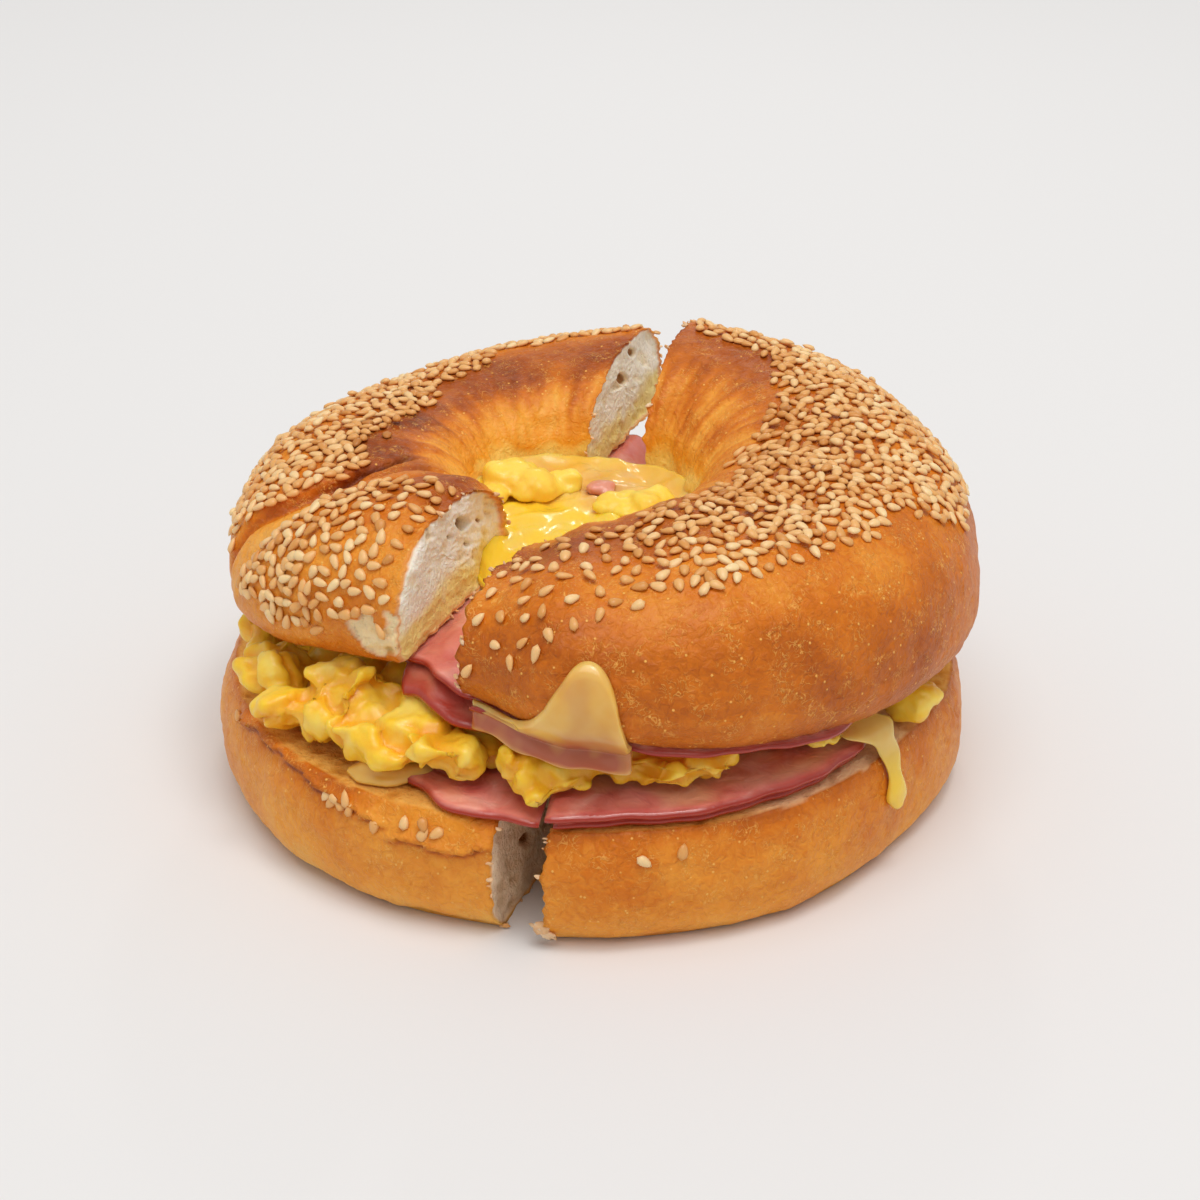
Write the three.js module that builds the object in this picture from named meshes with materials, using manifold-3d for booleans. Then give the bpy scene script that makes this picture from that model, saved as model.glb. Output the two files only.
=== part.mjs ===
// A sesame bagel sandwich of scrambled egg, ham and melted cheese, cut through once.
// Millimetres, +Z up, origin at the middle of the foot on the table, the shown side towards -Y.
// Bottom up: heel halves, ham, scrambled egg, ham, crown halves, with cheese pooled in the hole.
import * as THREE from "three";
import { mergeVertices } from "three/addons/utils/BufferGeometryUtils.js";
import Module from "manifold-3d";

const wasm = await Module();
wasm.setup();

// Driving dimensions
const RIM = 60.8; // outer radius of the bagel
const HOLE = 18; // radius of its hole where the crown is narrowest
const HOLE_AT = [-3, 6]; // middle of the hole between the crown halves
const HEEL_HOLE_AT = [6, 2]; // and between the heel halves, which lie a little apart from them
const HEEL_HEIGHT = 19; // the sliced heel
const CUT_LEAN = 21; // degrees that the cut turns from straight back
const CUT_OPEN = 7.5; // the slot that the cut has opened to between the crown halves
const HAM = 1.2; // one slice of ham
const CHEESE = 1.2; // one slice of cheese, melted
const POOL_LEVEL = 41; // melted cheese in the hole
const GAP = 0.35; // air left between pieces that touch
const CLEAR = 0.5; // and between cut pieces
const ROOM = 0.8; // between the egg and the ham above and below it
const SEED = { length: 2.7, width: 1.7, height: 0.9, apart: 4 };

const DEG = Math.PI / 180;
const CUT_FRONT = 270 - CUT_LEAN; // azimuth of the cut at the front
const CUT_BACK = 90 - CUT_LEAN;

const power = (v, p) => Math.sign(v) * Math.abs(v) ** p;
const lerp = THREE.MathUtils.lerp;
const smooth = (v) => THREE.MathUtils.smoothstep(v, 0, 1);

// A seeded random draw, 0 to 1
let state = 20;
function draw() {
  state = (state * 1664525 + 1013904223) % 4294967296;
  return state / 4294967296;
}

// The value at azimuth a between keys [azimuth, value], eased
function along(keys, a) {
  if (a <= keys[0][0]) return keys[0][1];
  for (let i = 1; i < keys.length; i++) {
    const [a0, v0] = keys[i - 1];
    const [a1, v1] = keys[i];
    if (a <= a1) return lerp(v0, v1, smooth((a - a0) / (a1 - a0)));
  }
  return keys.at(-1)[1];
}

// Distance from a point inside a circle to the circle, along an azimuth
function toCircle([px, py], [cx, cy], radius, azimuth) {
  const ux = Math.cos(azimuth * DEG);
  const uy = Math.sin(azimuth * DEG);
  const dx = cx - px;
  const dy = cy - py;
  const near = dx * ux + dy * uy;
  return near + Math.sqrt(radius ** 2 - dx ** 2 - dy ** 2 + near ** 2);
}

// The sliced faces of the crown halves, which lean on the filling
const crownFloor = {
  left: (x, y) => 38 + 0.15 * x - 0.03 * y,
  right: (x) => 32.4 - 0.1 * x,
};

// The four bread halves. middle lies on the half's own cut, so its two ends are flat radial faces.
const halves = {
  crown_left: {
    middle: [-8.2, 7],
    from: CUT_BACK,
    to: CUT_FRONT - 4,
    rim: { at: [0, 2], radius: RIM - 2.5 },
    drawnIn: [[69, 1], [100, 0], [205, 0], [245, 8]],
    rise: [[69, 17.5], [120, 18], [170, 20], [195, 18.5], [205, 16], [216, 20], [236, 20.5],
      [245, 18.5]],
    hole: [[69, 1], [150, 0], [200, -2], [245, -2]],
    crest: 0.6,
    waist: 0.3,
    floor: crownFloor.left,
  },
  crown_right: {
    middle: [2.2, 7],
    from: CUT_FRONT - 361,
    to: CUT_BACK,
    rim: { at: [0, 0], radius: RIM },
    drawnIn: [[-112, 9], [-95, 2], [-75, 0], [40, 0], [69, 3]],
    rise: [[-112, 15], [-95, 21], [-70, 25], [-30, 26.5], [20, 27.5], [69, 27.5]],
    hole: [[-112, 0], [0, 0], [69, 1]],
    crest: 0.6,
    waist: 0.28,
    floor: crownFloor.right,
  },
  heel_left: {
    middle: [6.8, 0],
    from: CUT_BACK,
    to: CUT_FRONT,
    rim: { at: [0, 0], radius: RIM },
    drawnIn: [[69, 0], [230, 0], [249, 1]],
  },
  heel_right: {
    middle: [15.6, 0],
    from: CUT_FRONT - 360,
    to: CUT_BACK,
    rim: { at: [-1, -0.5], radius: RIM },
    drawnIn: [[-111, 0], [-85, 0], [-45, 2.2], [-12, 0.5], [69, 0]],
  },
};

// A point of a crown half's skin: azimuth round the bagel, turn round its section (0 outward,
// 90 up), and out, a distance out from the skin
function crownPoint(half, azimuth, turn, out = 0) {
  const [mx, my] = half.middle;
  const outer = toCircle(half.middle, half.rim.at, half.rim.radius, azimuth) - along(half.drawnIn, azimuth);
  const inner = toCircle(half.middle, HOLE_AT, HOLE, azimuth) + along(half.hole, azimuth);
  const crest = inner + half.crest * (outer - inner);
  const rise = along(half.rise, azimuth);
  const waist = half.waist * rise;
  const c = Math.cos(turn * DEG);
  const s = Math.sin(turn * DEG);
  const across = (c > 0 ? outer - crest : crest - inner) + out;
  const up = s > 0 ? rise - waist + out : 1.6 * waist + out;
  const r = crest + across * power(c, 0.86);
  const x = mx + r * Math.cos(azimuth * DEG);
  const y = my + r * Math.sin(azimuth * DEG);
  const height = Math.max(-out, waist + up * power(s, 0.9));
  return new THREE.Vector3(x, y, half.floor(x, y) + height);
}

// A point of a heel half's skin: a flat foot, a full belly and a level sliced face
function heelPoint(half, azimuth, turn, out = 0) {
  const [mx, my] = half.middle;
  const outer = toCircle(half.middle, half.rim.at, half.rim.radius, azimuth) - along(half.drawnIn, azimuth);
  const inner = toCircle(half.middle, HEEL_HOLE_AT, HOLE, azimuth);
  const mid = (outer + inner) / 2;
  const c = Math.cos(turn * DEG);
  const s = Math.sin(turn * DEG);
  const waist = 0.55 * HEEL_HEIGHT;
  const r = mid + ((outer - inner) / 2 + out) * power(c, 0.55);
  const lift = s > 0 ? (1.7 * (HEEL_HEIGHT - waist) + out) * s : 1.2 * (waist + out) * power(s, 0.62);
  const z = THREE.MathUtils.clamp(waist + lift, -out, HEEL_HEIGHT + out);
  return new THREE.Vector3(mx + r * Math.cos(azimuth * DEG), my + r * Math.sin(azimuth * DEG), z);
}

// A closed skin through rings of points, with a fan on each end
function loft(rings) {
  const n = rings[0].length;
  const position = rings.flat().flatMap((p) => [p.x, p.y, p.z]);
  const index = [];
  for (let i = 0; i + 1 < rings.length; i++)
    for (let j = 0; j < n; j++) {
      const a = i * n + j;
      const b = i * n + ((j + 1) % n);
      index.push(a, a + n, b, b, a + n, b + n);
    }
  const ends = [[rings[0], 0, false], [rings.at(-1), (rings.length - 1) * n, true]];
  for (const [ring, first, flip] of ends) {
    const hub = position.length / 3;
    const middle = ring.reduce((sum, p) => sum.add(p), new THREE.Vector3()).divideScalar(n);
    position.push(middle.x, middle.y, middle.z);
    for (let j = 0; j < n; j++) {
      const pair = [first + j, first + ((j + 1) % n)];
      if (flip) pair.reverse();
      index.push(hub, ...pair);
    }
  }
  return indexed(position, index);
}

function indexed(position, index) {
  const g = new THREE.BufferGeometry();
  g.setAttribute("position", new THREE.Float32BufferAttribute(position, 3));
  g.setIndex(index);
  return g;
}

// A bread half, or a fatter copy of it that cuts its neighbours back
function breadHalf(half, point, steps, sides, out = 0) {
  const rings = [];
  const past = out ? 1 : 0; // the fatter copy also runs past the cuts, by this many degrees
  for (let i = 0; i <= steps; i++) {
    const azimuth = half.from - past + ((half.to - half.from + 2 * past) * i) / steps;
    rings.push(Array.from({ length: sides }, (_, j) => point(half, azimuth, (360 * j) / sides, out)));
  }
  return loft(rings);
}

// Solids for joining and cutting
function solid(geometry) {
  const bare = geometry.clone();
  bare.deleteAttribute("normal");
  bare.deleteAttribute("uv");
  const merged = mergeVertices(bare, 1e-4);
  const mesh = new wasm.Mesh({
    numProp: 3,
    vertProperties: new Float32Array(merged.attributes.position.array),
    triVerts: new Uint32Array(merged.index.array),
  });
  return new wasm.Manifold(mesh);
}

// The largest closed body of a solid, as a geometry
function geometryOf(made) {
  const body = made.decompose().sort((a, b) => b.volume() - a.volume())[0];
  const mesh = body.getMesh();
  return indexed(Array.from(mesh.vertProperties), Array.from(mesh.triVerts));
}

// A thin sheet over a grid, both faces split alike: at(u, v, offset) gives its points
function sheet(at, across, down, thickness) {
  const n = across + 1;
  const under = n * (down + 1);
  const position = [];
  for (const side of [0.5, -0.5])
    for (let j = 0; j <= down; j++)
      for (let i = 0; i <= across; i++) {
        const p = at(i / across, j / down, side * thickness);
        position.push(p.x, p.y, p.z);
      }
  const index = [];
  for (let j = 0; j < down; j++)
    for (let i = 0; i < across; i++) {
      const [a, b] = [j * n + i, j * n + i + 1];
      const [c, d] = [b + n, a + n];
      index.push(a, b, c, a, c, d);
      index.push(a + under, c + under, b + under, a + under, d + under, c + under);
    }
  const wall = (p, q) => index.push(p, p + under, q, q, p + under, q + under);
  for (let i = 0; i < across; i++) {
    wall(i, i + 1);
    wall(down * n + i + 1, down * n + i);
  }
  for (let j = 0; j < down; j++) {
    wall((j + 1) * n, j * n);
    wall(j * n + across, (j + 1) * n + across);
  }
  return indexed(position, index);
}

// How far a point lies to the right of a cut through middle
function rightOfCut([mx, my], x, y) {
  return (x - mx) * Math.cos(CUT_LEAN * DEG) - (y - my) * Math.sin(CUT_LEAN * DEG);
}

// The top of the filling: it follows both sliced faces and eases across the slot between them
function lid(x, y) {
  const over = smooth(rightOfCut(halves.crown_left.middle, x, y) / CUT_OPEN);
  return lerp(crownFloor.left(x, y), crownFloor.right(x), over);
}

// Ham slices. rim is the outer radius by azimuth, height the middle of the slice, and ripple
// how far its edge waves up, or down where it is negative.
const upperHam = (x, y) => lid(x, y) - 0.4 - HAM / 2;
const layer = HAM + GAP;
const lowest = HEEL_HEIGHT + GAP + HAM / 2;
const slices = {
  ham_low_left: {
    from: 78,
    to: 262,
    rim: [[78, 42], [228, 42], [240, 54], [250, 58], [262, 59.5]],
    height: () => lowest,
    ripple: 0.12,
    steps: 20,
  },
  ham_low_right_under: {
    from: -96,
    to: 60,
    rim: [[-96, 57], [-72, 55.5], [-45, 52], [-33, 45], [60, 45]],
    height: () => lowest,
    ripple: 0,
    steps: 14,
  },
  ham_low_right: {
    from: -97,
    to: 62,
    rim: [[-97, 59.5], [-72, 58], [-45, 55], [-33, 46], [62, 46]],
    height: () => lowest + layer,
    ripple: 0.12,
    steps: 18,
  },
  ham_top_left: {
    from: 64,
    to: 260,
    rim: [[64, 45], [84, 46], [110, 39], [222, 39], [231, 43.5], [244, 47.6], [260, 47.6]],
    height: upperHam,
    ripple: -0.15,
    steps: 24,
  },
  ham_top_left_under: {
    from: 205,
    to: 257,
    rim: [[205, 37], [226, 41], [234, 47.5], [244, 50], [257, 50]],
    height: (x, y) => upperHam(x, y) - layer - 0.2 - 1.9 * smooth((Math.hypot(x, y) - 43) / 6),
    ripple: -0.12,
    steps: 10,
  },
  ham_top_right: {
    from: -98,
    to: 59,
    reach: -111,
    rim: [[-111, 51], [-97, 55], [-72, 57.5], [-52, 57.5], [-36, 50], [59, 50]],
    height: upperHam,
    ripple: -0.12,
    steps: 20,
  },
};

// A ham slice, or a fatter copy of it. Its edge ripples, and reach lets its rim begin earlier.
function slice(name, out = 0) {
  const { from, to, reach = from, rim, height, ripple, steps } = slices[name];
  const rows = 4;
  const reachRow = out ? 0.5 : 0.75; // the fatter copy widens one row earlier
  const at = (u, v, offset) => {
    const grown = out / 50 / DEG;
    const start = lerp(from, reach, smooth((u - reachRow) * 4)) - grown;
    const a = lerp(start, to + grown, v);
    const outer = along(rim, a) + 0.5 * Math.sin(a * 0.37) + out;
    const inner = toCircle([0, 0], HOLE_AT, HOLE - 4, a) - out;
    const r = lerp(inner, outer, u ** 0.6);
    const x = r * Math.cos(a * DEG);
    const y = r * Math.sin(a * DEG);
    const wave = ripple * u ** 3 * (1 + Math.sin(a * 0.29 + outer - out));
    return new THREE.Vector3(x, y, height(x, y) + wave + offset);
  };
  return sheet(at, rows, steps, HAM + 2 * out);
}

// A lump of egg: a ball with uneven bulges, pressed flat where it meets what is under or over it
function curd([x, y, z], size, floor, ceiling) {
  const ball = new THREE.SphereGeometry(1, 7, 5);
  const p = ball.attributes.position;
  const bulges = Array.from({ length: 4 }, () =>
    new THREE.Vector3(draw() - 0.5, draw() - 0.5, draw() - 0.5).normalize(),
  );
  for (let i = 0; i < p.count; i++) {
    const d = new THREE.Vector3().fromBufferAttribute(p, i).normalize();
    const swell = (sum, b, k) => sum + (k % 2 ? -0.16 : 0.3) * Math.max(0, d.dot(b)) ** 3;
    d.multiplyScalar(bulges.reduce(swell, 0.9));
    const [px, py] = [x + d.x * size[0], y + d.y * size[1]];
    const pz = Math.max(floor(px, py) + 0.25, Math.min(ceiling(px, py) - 0.25, z + d.z * size[2]));
    p.setXYZ(i, px, py, pz);
  }
  return solid(ball);
}

// The bare body of a heap of egg between the ham below and the lid, rounded at its outer side
function eggCore({ from, to, rim, floor, ceiling, steps }) {
  const rings = [];
  for (let i = 0; i <= steps; i++) {
    const a = lerp(from, to, i / steps);
    const inner = toCircle([0, 0], HOLE_AT, HOLE - 3, a);
    const outer = along(rim, a) + 1.2 * Math.sin(a * 0.41) + 0.8 * Math.sin(a * 0.93);
    const section = [];
    for (const [across, up] of [[1, 0.5], [0.92, 0.9], [0.6, 1], [0, 1], [0, 0], [0.6, 0], [0.94, 0]]) {
      const r = lerp(inner, outer, across);
      const x = r * Math.cos(a * DEG);
      const y = r * Math.sin(a * DEG);
      section.push(new THREE.Vector3(x, y, lerp(floor, ceiling(x, y), up)));
    }
    rings.push(section);
  }
  return solid(loft(rings));
}

// Past the ham's rim, which is a radius between two azimuths, the egg lies on the bread
function pastHam([radius, from, to], x, y) {
  const azimuth = Math.atan2(y, x) / DEG;
  const turned = azimuth < from ? azimuth + 360 : azimuth;
  return Math.hypot(x, y) > radius && turned < to;
}

// The two heaps of scrambled egg, with the lumps that show: [x, y, z], [half sizes]
const heaps = {
  egg_left: {
    from: 74,
    to: 256,
    rim: [[74, 46], [110, 48], [180, 48.5], [215, 48], [235, 48.5], [256, 48.5]],
    floor: lowest + HAM / 2 + ROOM,
    ceiling: (x, y) => slices.ham_top_left_under.height(x, y) - HAM / 2 - ROOM,
    past: [44, 70, 226],
    steps: 20,
    lumps: [
      [[-49, -21, 25.2], [6.5, 5, 4.6]],
      [[-46, -30, 23.6], [6, 5.4, 3.6]],
      [[-40.5, -34, 25.2], [4.4, 4.2, 5]],
      [[-37, -31, 27.8], [6, 4.6, 4.6]],
      [[-29.6, -37.5, 28.6], [5, 4.6, 4.8]],
      [[-34, -40, 25], [6, 4.4, 4.6]],
      [[-29, -43.5, 23.8], [5.6, 4.6, 3.4]],
      [[-22.8, -46.5, 27.5], [5.2, 4.8, 6]],
      [[-19.4, -47.5, 24.6], [3.6, 4, 4.2]],
      [[-51.5, -4, 24.9], [4.6, 7.5, 4.4]],
      [[-50, 13, 24.6], [5, 7, 4.4]],
      [[-42, 30, 24.9], [6, 6.4, 4.6]],
      [[-28, 42, 25.6], [7, 5, 5]],
      [[-10, 49, 25.6], [8, 4.6, 5]],
    ],
  },
  egg_right: {
    from: -103,
    to: 63,
    rim: [[-103, 50.5], [-60, 50], [-30, 50.5], [30, 49], [63, 46]],
    floor: lowest + layer + HAM / 2 + ROOM,
    ceiling: (x, y) => upperHam(x, y) - HAM / 2 - ROOM,
    past: [48, -33, 70],
    steps: 16,
    lumps: [
      [[-10.4, -51.5, 25], [3.8, 4.8, 4.4]],
      [[-4.5, -52.5, 24.6], [5.4, 5, 4]],
      [[-8, -54.5, 22.9], [3.6, 4.4, 2.8]],
      [[3.4, -50, 25.6], [4.6, 4.2, 2.6]],
      [[10.5, -51.5, 24.8], [6, 4.8, 3]],
      [[16, -50.5, 26], [5, 4.4, 2.6]],
      [[31.5, -41, 25.2], [5, 4, 2.4]],
      [[48.4, -26.2, 22.8], [4.6, 4.4, 3.2]],
      [[51.4, -6, 23.8], [3.8, 6.4, 2.4]],
      [[50, 14, 24], [4.2, 6.4, 2.6]],
      [[38, 34, 24.4], [6.4, 6, 3]],
    ],
  },
};

// Melted cheese that fills the hole and runs out into the slot at the front
const poolTop = (r) => POOL_LEVEL - 0.45 * Math.max(0, r - HOLE);
function pool() {
  const [cx, cy] = HOLE_AT;
  const sides = 24;
  const reach = (a) => HOLE + 1.5 + 8 * Math.exp(-(((a - CUT_FRONT) / 24) ** 2));
  const loop = (share, height) =>
    Array.from({ length: sides }, (_, j) => {
      const a = (360 * j) / sides;
      const r = share * reach(a);
      const x = cx + r * Math.cos(a * DEG);
      const y = cy + r * Math.sin(a * DEG);
      return new THREE.Vector3(x, y, height(x, y, r));
    });
  const top = (x, y, r) => poolTop(r) + 0.3 * Math.sin(x * 0.5) * Math.cos(y * 0.4);
  const under = (x, y) => lid(x, y) + 0.2;
  const rounded = (x, y, r) => lerp(under(x, y), top(x, y, r), 0.75);
  return loft([loop(0.35, top), loop(0.7, top), loop(0.93, top), loop(1, rounded), loop(1, under),
    loop(0.6, under), loop(0.3, under)]);
}

// Lumps that lie on the pool, pressed level at its surface
const onPool = {
  egg_hole_left: [
    [[-14.5, 13, 43], [5, 4.2, 3.2]],
    [[-9.5, 10, 42.6], [4.6, 3.6, 2.8]],
    [[-6.6, 12.6, 42.2], [3, 2.6, 2.2]],
  ],
  egg_hole_right: [
    [[3.5, 4.6, 42.2], [4.2, 3, 2]],
    [[8.6, 3.6, 42.6], [4.2, 3.4, 2.4]],
  ],
  ham_hole: [[[0.4, 11.8, 42.2], [3.2, 2.4, 1.4]]],
};

// Cheese pressed out over the right-hand crown: it coats the ham's edge, and a flap climbs the crust
const flap = {
  from: -110.5,
  to: -87.5,
  crest: [[-110.5, -36], [-105, -36], [-101.5, -26], [-97, 5], [-93.6, 33], [-91, 22], [-88.8, -24],
    [-87.5, -36]],
  tuck: -38, // the turn of the section where the cheese leaves the crust
  drop: 3.2, // from there down over the ham
};
function cheeseFlap(out = 0) {
  const half = halves.crown_right;
  const at = (u, v, offset) => {
    const a = lerp(flap.from, flap.to, v);
    const skin = GAP + CHEESE / 2 + offset + (u === 0 ? -0.2 : 0);
    const turn = lerp(along(flap.crest, a), flap.tuck, Math.min(1, u / 0.6));
    const p = crownPoint(half, a, turn, skin);
    const fall = Math.max(0, u - 0.6) / 0.4;
    const push = fall * 0.9;
    p.x += push * Math.cos(a * DEG);
    p.y += push * Math.sin(a * DEG);
    p.z -= fall * flap.drop;
    return p;
  };
  return sheet(at, 6, 12, CHEESE + 2 * out);
}

// Cheese that runs out at the right, narrows over the heel's edge and ends in a drip
const run = {
  azimuth: -52.5, // of the drip, about the heel half's middle
  shelf: [[34.5, -33.5, 25], [38.5, -35.8, 24.2], [42, -37.2, 23]],
  turns: [36, 26, 16, 8, 2],
  width: [[0, 11], [0.3, 9.5], [0.5, 4.6], [0.72, 2.8], [0.9, 3.8], [1, 1.8]],
};
function cheeseRun(out = 0) {
  const half = halves.heel_right;
  const skin = GAP + 0.1 + CHEESE / 2;
  const path = new THREE.CatmullRomCurve3([
    ...run.shelf.map((p) => new THREE.Vector3(...p)),
    ...run.turns.map((turn) => heelPoint(half, run.azimuth, turn, skin)),
  ]);
  const side = new THREE.Vector3(-Math.sin((run.azimuth + 8) * DEG), Math.cos((run.azimuth + 8) * DEG), 0);
  const steps = 14;
  const sides = 8;
  const rings = [];
  for (let i = 0; i <= steps; i++) {
    const t = i / steps;
    const p = path.getPointAt(t);
    const normal = new THREE.Vector3().crossVectors(path.getTangentAt(t), side).normalize();
    const w = along(run.width, t) / 2 + out;
    const ring = [];
    for (let j = 0; j < sides; j++) {
      const c = Math.cos((2 * Math.PI * j) / sides);
      const s = Math.sin((2 * Math.PI * j) / sides);
      ring.push(p.clone().addScaledVector(side, -w * c).addScaledVector(normal, (CHEESE / 2 + out) * s));
    }
    rings.push(ring);
  }
  return loft(rings);
}

// A drop of cheese that fell on the heel's edge at the left
const DROP = { at: [-32.5, -44.5, 20.4], half: [4.2, 2.6, 2.2] };
function cheeseDrop(out = 0) {
  const ball = new THREE.SphereGeometry(1, 10, 6);
  ball.scale(...DROP.half.map((half) => half + out));
  ball.translate(...DROP.at);
  const p = ball.attributes.position;
  for (let i = 0; i < p.count; i++) p.setZ(i, Math.max(p.getZ(i), HEEL_HEIGHT + GAP - out));
  return ball;
}

// Sesame seeds: flat six-sided lumps, half sunk in the crust
function seedAt(half, point, azimuth, turn) {
  const p = point(half, azimuth, turn);
  const forward = point(half, azimuth + 1, turn).sub(p).normalize();
  const around = point(half, azimuth, turn + 3).sub(p).normalize();
  const up = new THREE.Vector3().crossVectors(around, forward).normalize();
  const heading = draw() * Math.PI;
  const x = forward.clone().multiplyScalar(Math.cos(heading)).addScaledVector(around, Math.sin(heading));
  x.addScaledVector(up, -x.dot(up)).normalize();
  const y = new THREE.Vector3().crossVectors(up, x);
  const lump = new THREE.SphereGeometry(0.5, 6, 2).rotateX(Math.PI / 2);
  lump.scale(SEED.length, SEED.width, SEED.height * 2);
  lump.applyMatrix4(new THREE.Matrix4().makeBasis(x, y, up).setPosition(p));
  return solid(lump);
}

// Where seeds lie on a crown half: lowest and highest turn by azimuth, for so many seeds
const sown = {
  crown_left: {
    count: 44,
    low: [[69, 28], [200, 26], [209, 90], [214, 0], [245, 4]],
    high: [[69, 100], [150, 108], [200, 112], [209, 90], [214, 108], [245, 112]],
  },
  crown_right: {
    count: 62,
    low: [[-112, 22], [-101, 24], [-97, 54], [-88, 54], [-60, 56], [-25, 52], [0, 24], [69, 20]],
    high: [[-112, 84], [-95, 108], [0, 106], [69, 100]],
  },
};
// The few seeds that fell on the heel: [azimuth, turn]
const strays = {
  heel_left: [[198, 26], [227, 34], [232, 25], [236, 30], [239, 33], [241.5, 24]],
  heel_right: [[-98, 8], [-93, 16]],
};

function sow(name, body) {
  const half = halves[name];
  const { count, low, high } = sown[name];
  const placed = [];
  const lumps = [];
  for (let tries = 0; placed.length < count && tries < 9000; tries++) {
    const azimuth = lerp(half.from + 3, half.to - 3, draw());
    const [least, most] = [along(low, azimuth), along(high, azimuth)];
    const turn = lerp(least, most, draw());
    const p = crownPoint(half, azimuth, turn);
    if (most - least < 20 || placed.some((q) => q.distanceTo(p) < SEED.apart)) continue;
    placed.push(p);
    lumps.push(seedAt(half, crownPoint, azimuth, turn));
  }
  return wasm.Manifold.union([body, ...lumps]);
}

const finish = {
  crust: { color: 0xc8803a, roughness: 0.45, metalness: 0 },
  ham: { color: 0xd27c84, roughness: 0.3, metalness: 0 },
  egg: { color: 0xf2c23c, roughness: 0.4, metalness: 0 },
  cheese: { color: 0xe8c877, roughness: 0.3, metalness: 0 },
};
const materials = Object.fromEntries(
  Object.entries(finish).map(([name, look]) => [name, new THREE.MeshStandardMaterial(look)]),
);

const bagel = new THREE.Group();
function add(name, geometry, material) {
  const mesh = new THREE.Mesh(geometry, materials[material]);
  mesh.name = name;
  bagel.add(mesh);
}

// The bread, and the fatter copies that keep the filling clear of it
const fat = [];
for (const name of ["heel_left", "heel_right"]) {
  const body = solid(breadHalf(halves[name], heelPoint, 28, 12));
  const seeds = strays[name].map(([azimuth, turn]) => seedAt(halves[name], heelPoint, azimuth, turn));
  add(name, geometryOf(wasm.Manifold.union([body, ...seeds])), "crust");
  fat.push(solid(breadHalf(halves[name], heelPoint, 28, 12, CLEAR)));
}
for (const name of ["crown_left", "crown_right"]) {
  add(name, geometryOf(sow(name, solid(breadHalf(halves[name], crownPoint, 32, 14)))), "crust");
  fat.push(solid(breadHalf(halves[name], crownPoint, 32, 14, CLEAR)));
}

for (const name of Object.keys(slices)) {
  add(name, slice(name), "ham");
  fat.push(solid(slice(name, CLEAR)));
}

const melts = { cheese_flap: cheeseFlap, cheese_run: cheeseRun, cheese_drop: cheeseDrop };
for (const [name, melted] of Object.entries(melts)) {
  add(name, geometryOf(solid(melted()).subtract(wasm.Manifold.union(fat))), "cheese");
  fat.push(solid(melted(CLEAR)));
}

const walls = ["crown_left", "crown_right"].map((name) =>
  solid(breadHalf(halves[name], crownPoint, 16, 14, CLEAR)),
);
const filled = solid(pool()).subtract(wasm.Manifold.union(walls));
add("cheese_pool", geometryOf(filled), "cheese");
for (const [name, lumps] of Object.entries(onPool)) {
  const level = () => POOL_LEVEL + GAP;
  const joined = wasm.Manifold.union(lumps.map(([at, size]) => curd(at, size, level, () => 60)));
  add(name, geometryOf(joined.subtract(wasm.Manifold.union(fat))), name === "ham_hole" ? "ham" : "egg");
}

for (const [name, heap] of Object.entries(heaps)) {
  const free = (x, y) => pastHam(heap.past, x, y);
  const low = (x, y) => (free(x, y) ? HEEL_HEIGHT + CLEAR : heap.floor);
  const high = (x, y) => (free(x, y) ? lid(x, y) - CLEAR : heap.ceiling(x, y));
  const lumps = heap.lumps.map(([at, size]) => curd(at, size, low, high));
  const heaped = wasm.Manifold.union([eggCore(heap), ...lumps]);
  add(name, geometryOf(heaped.subtract(wasm.Manifold.union(fat))), "egg");
}

// The origin goes to the middle of the foot
const box = new THREE.Box3().setFromObject(bagel);
const middle = box.getCenter(new THREE.Vector3());
bagel.position.set(-middle.x, -middle.y, -box.min.z);

export default bagel;
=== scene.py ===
"""A cut sesame bagel sandwich of scrambled egg, ham and melted cheese, dressed for rendering.

Every shape is worked out in millimetres from the named sizes below, then placed in metres
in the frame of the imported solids.
"""

import math

import bpy
import numpy as np
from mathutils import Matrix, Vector, noise
from mathutils.bvhtree import BVHTree


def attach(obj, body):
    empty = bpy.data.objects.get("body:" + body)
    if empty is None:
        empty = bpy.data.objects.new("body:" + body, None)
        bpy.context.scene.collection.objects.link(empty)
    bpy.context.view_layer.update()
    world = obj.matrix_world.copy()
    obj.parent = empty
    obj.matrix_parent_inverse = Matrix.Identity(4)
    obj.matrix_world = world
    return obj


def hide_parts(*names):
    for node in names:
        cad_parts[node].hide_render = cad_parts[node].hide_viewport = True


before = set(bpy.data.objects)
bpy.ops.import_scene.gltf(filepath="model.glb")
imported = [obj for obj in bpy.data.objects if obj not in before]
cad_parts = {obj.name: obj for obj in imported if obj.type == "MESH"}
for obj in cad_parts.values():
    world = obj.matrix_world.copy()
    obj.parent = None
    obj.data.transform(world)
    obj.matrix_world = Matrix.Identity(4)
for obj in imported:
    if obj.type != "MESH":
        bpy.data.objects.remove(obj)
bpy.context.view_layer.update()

bl_info = {
    "name": "Egg, ham and cheese bagel",
    "version": (1, 0, 0),
    "blender": (4, 5, 0),
    "location": "3D Viewport > Sidebar > Bagel",
    "description": "Builds a cut sesame bagel sandwich around its packed solids",
    "category": "Add Mesh",
}

MM = 0.001
SHIFT = np.array([0.006, 0.373, 0.0])  # from the sizes' own origin to the middle of the foot

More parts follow.
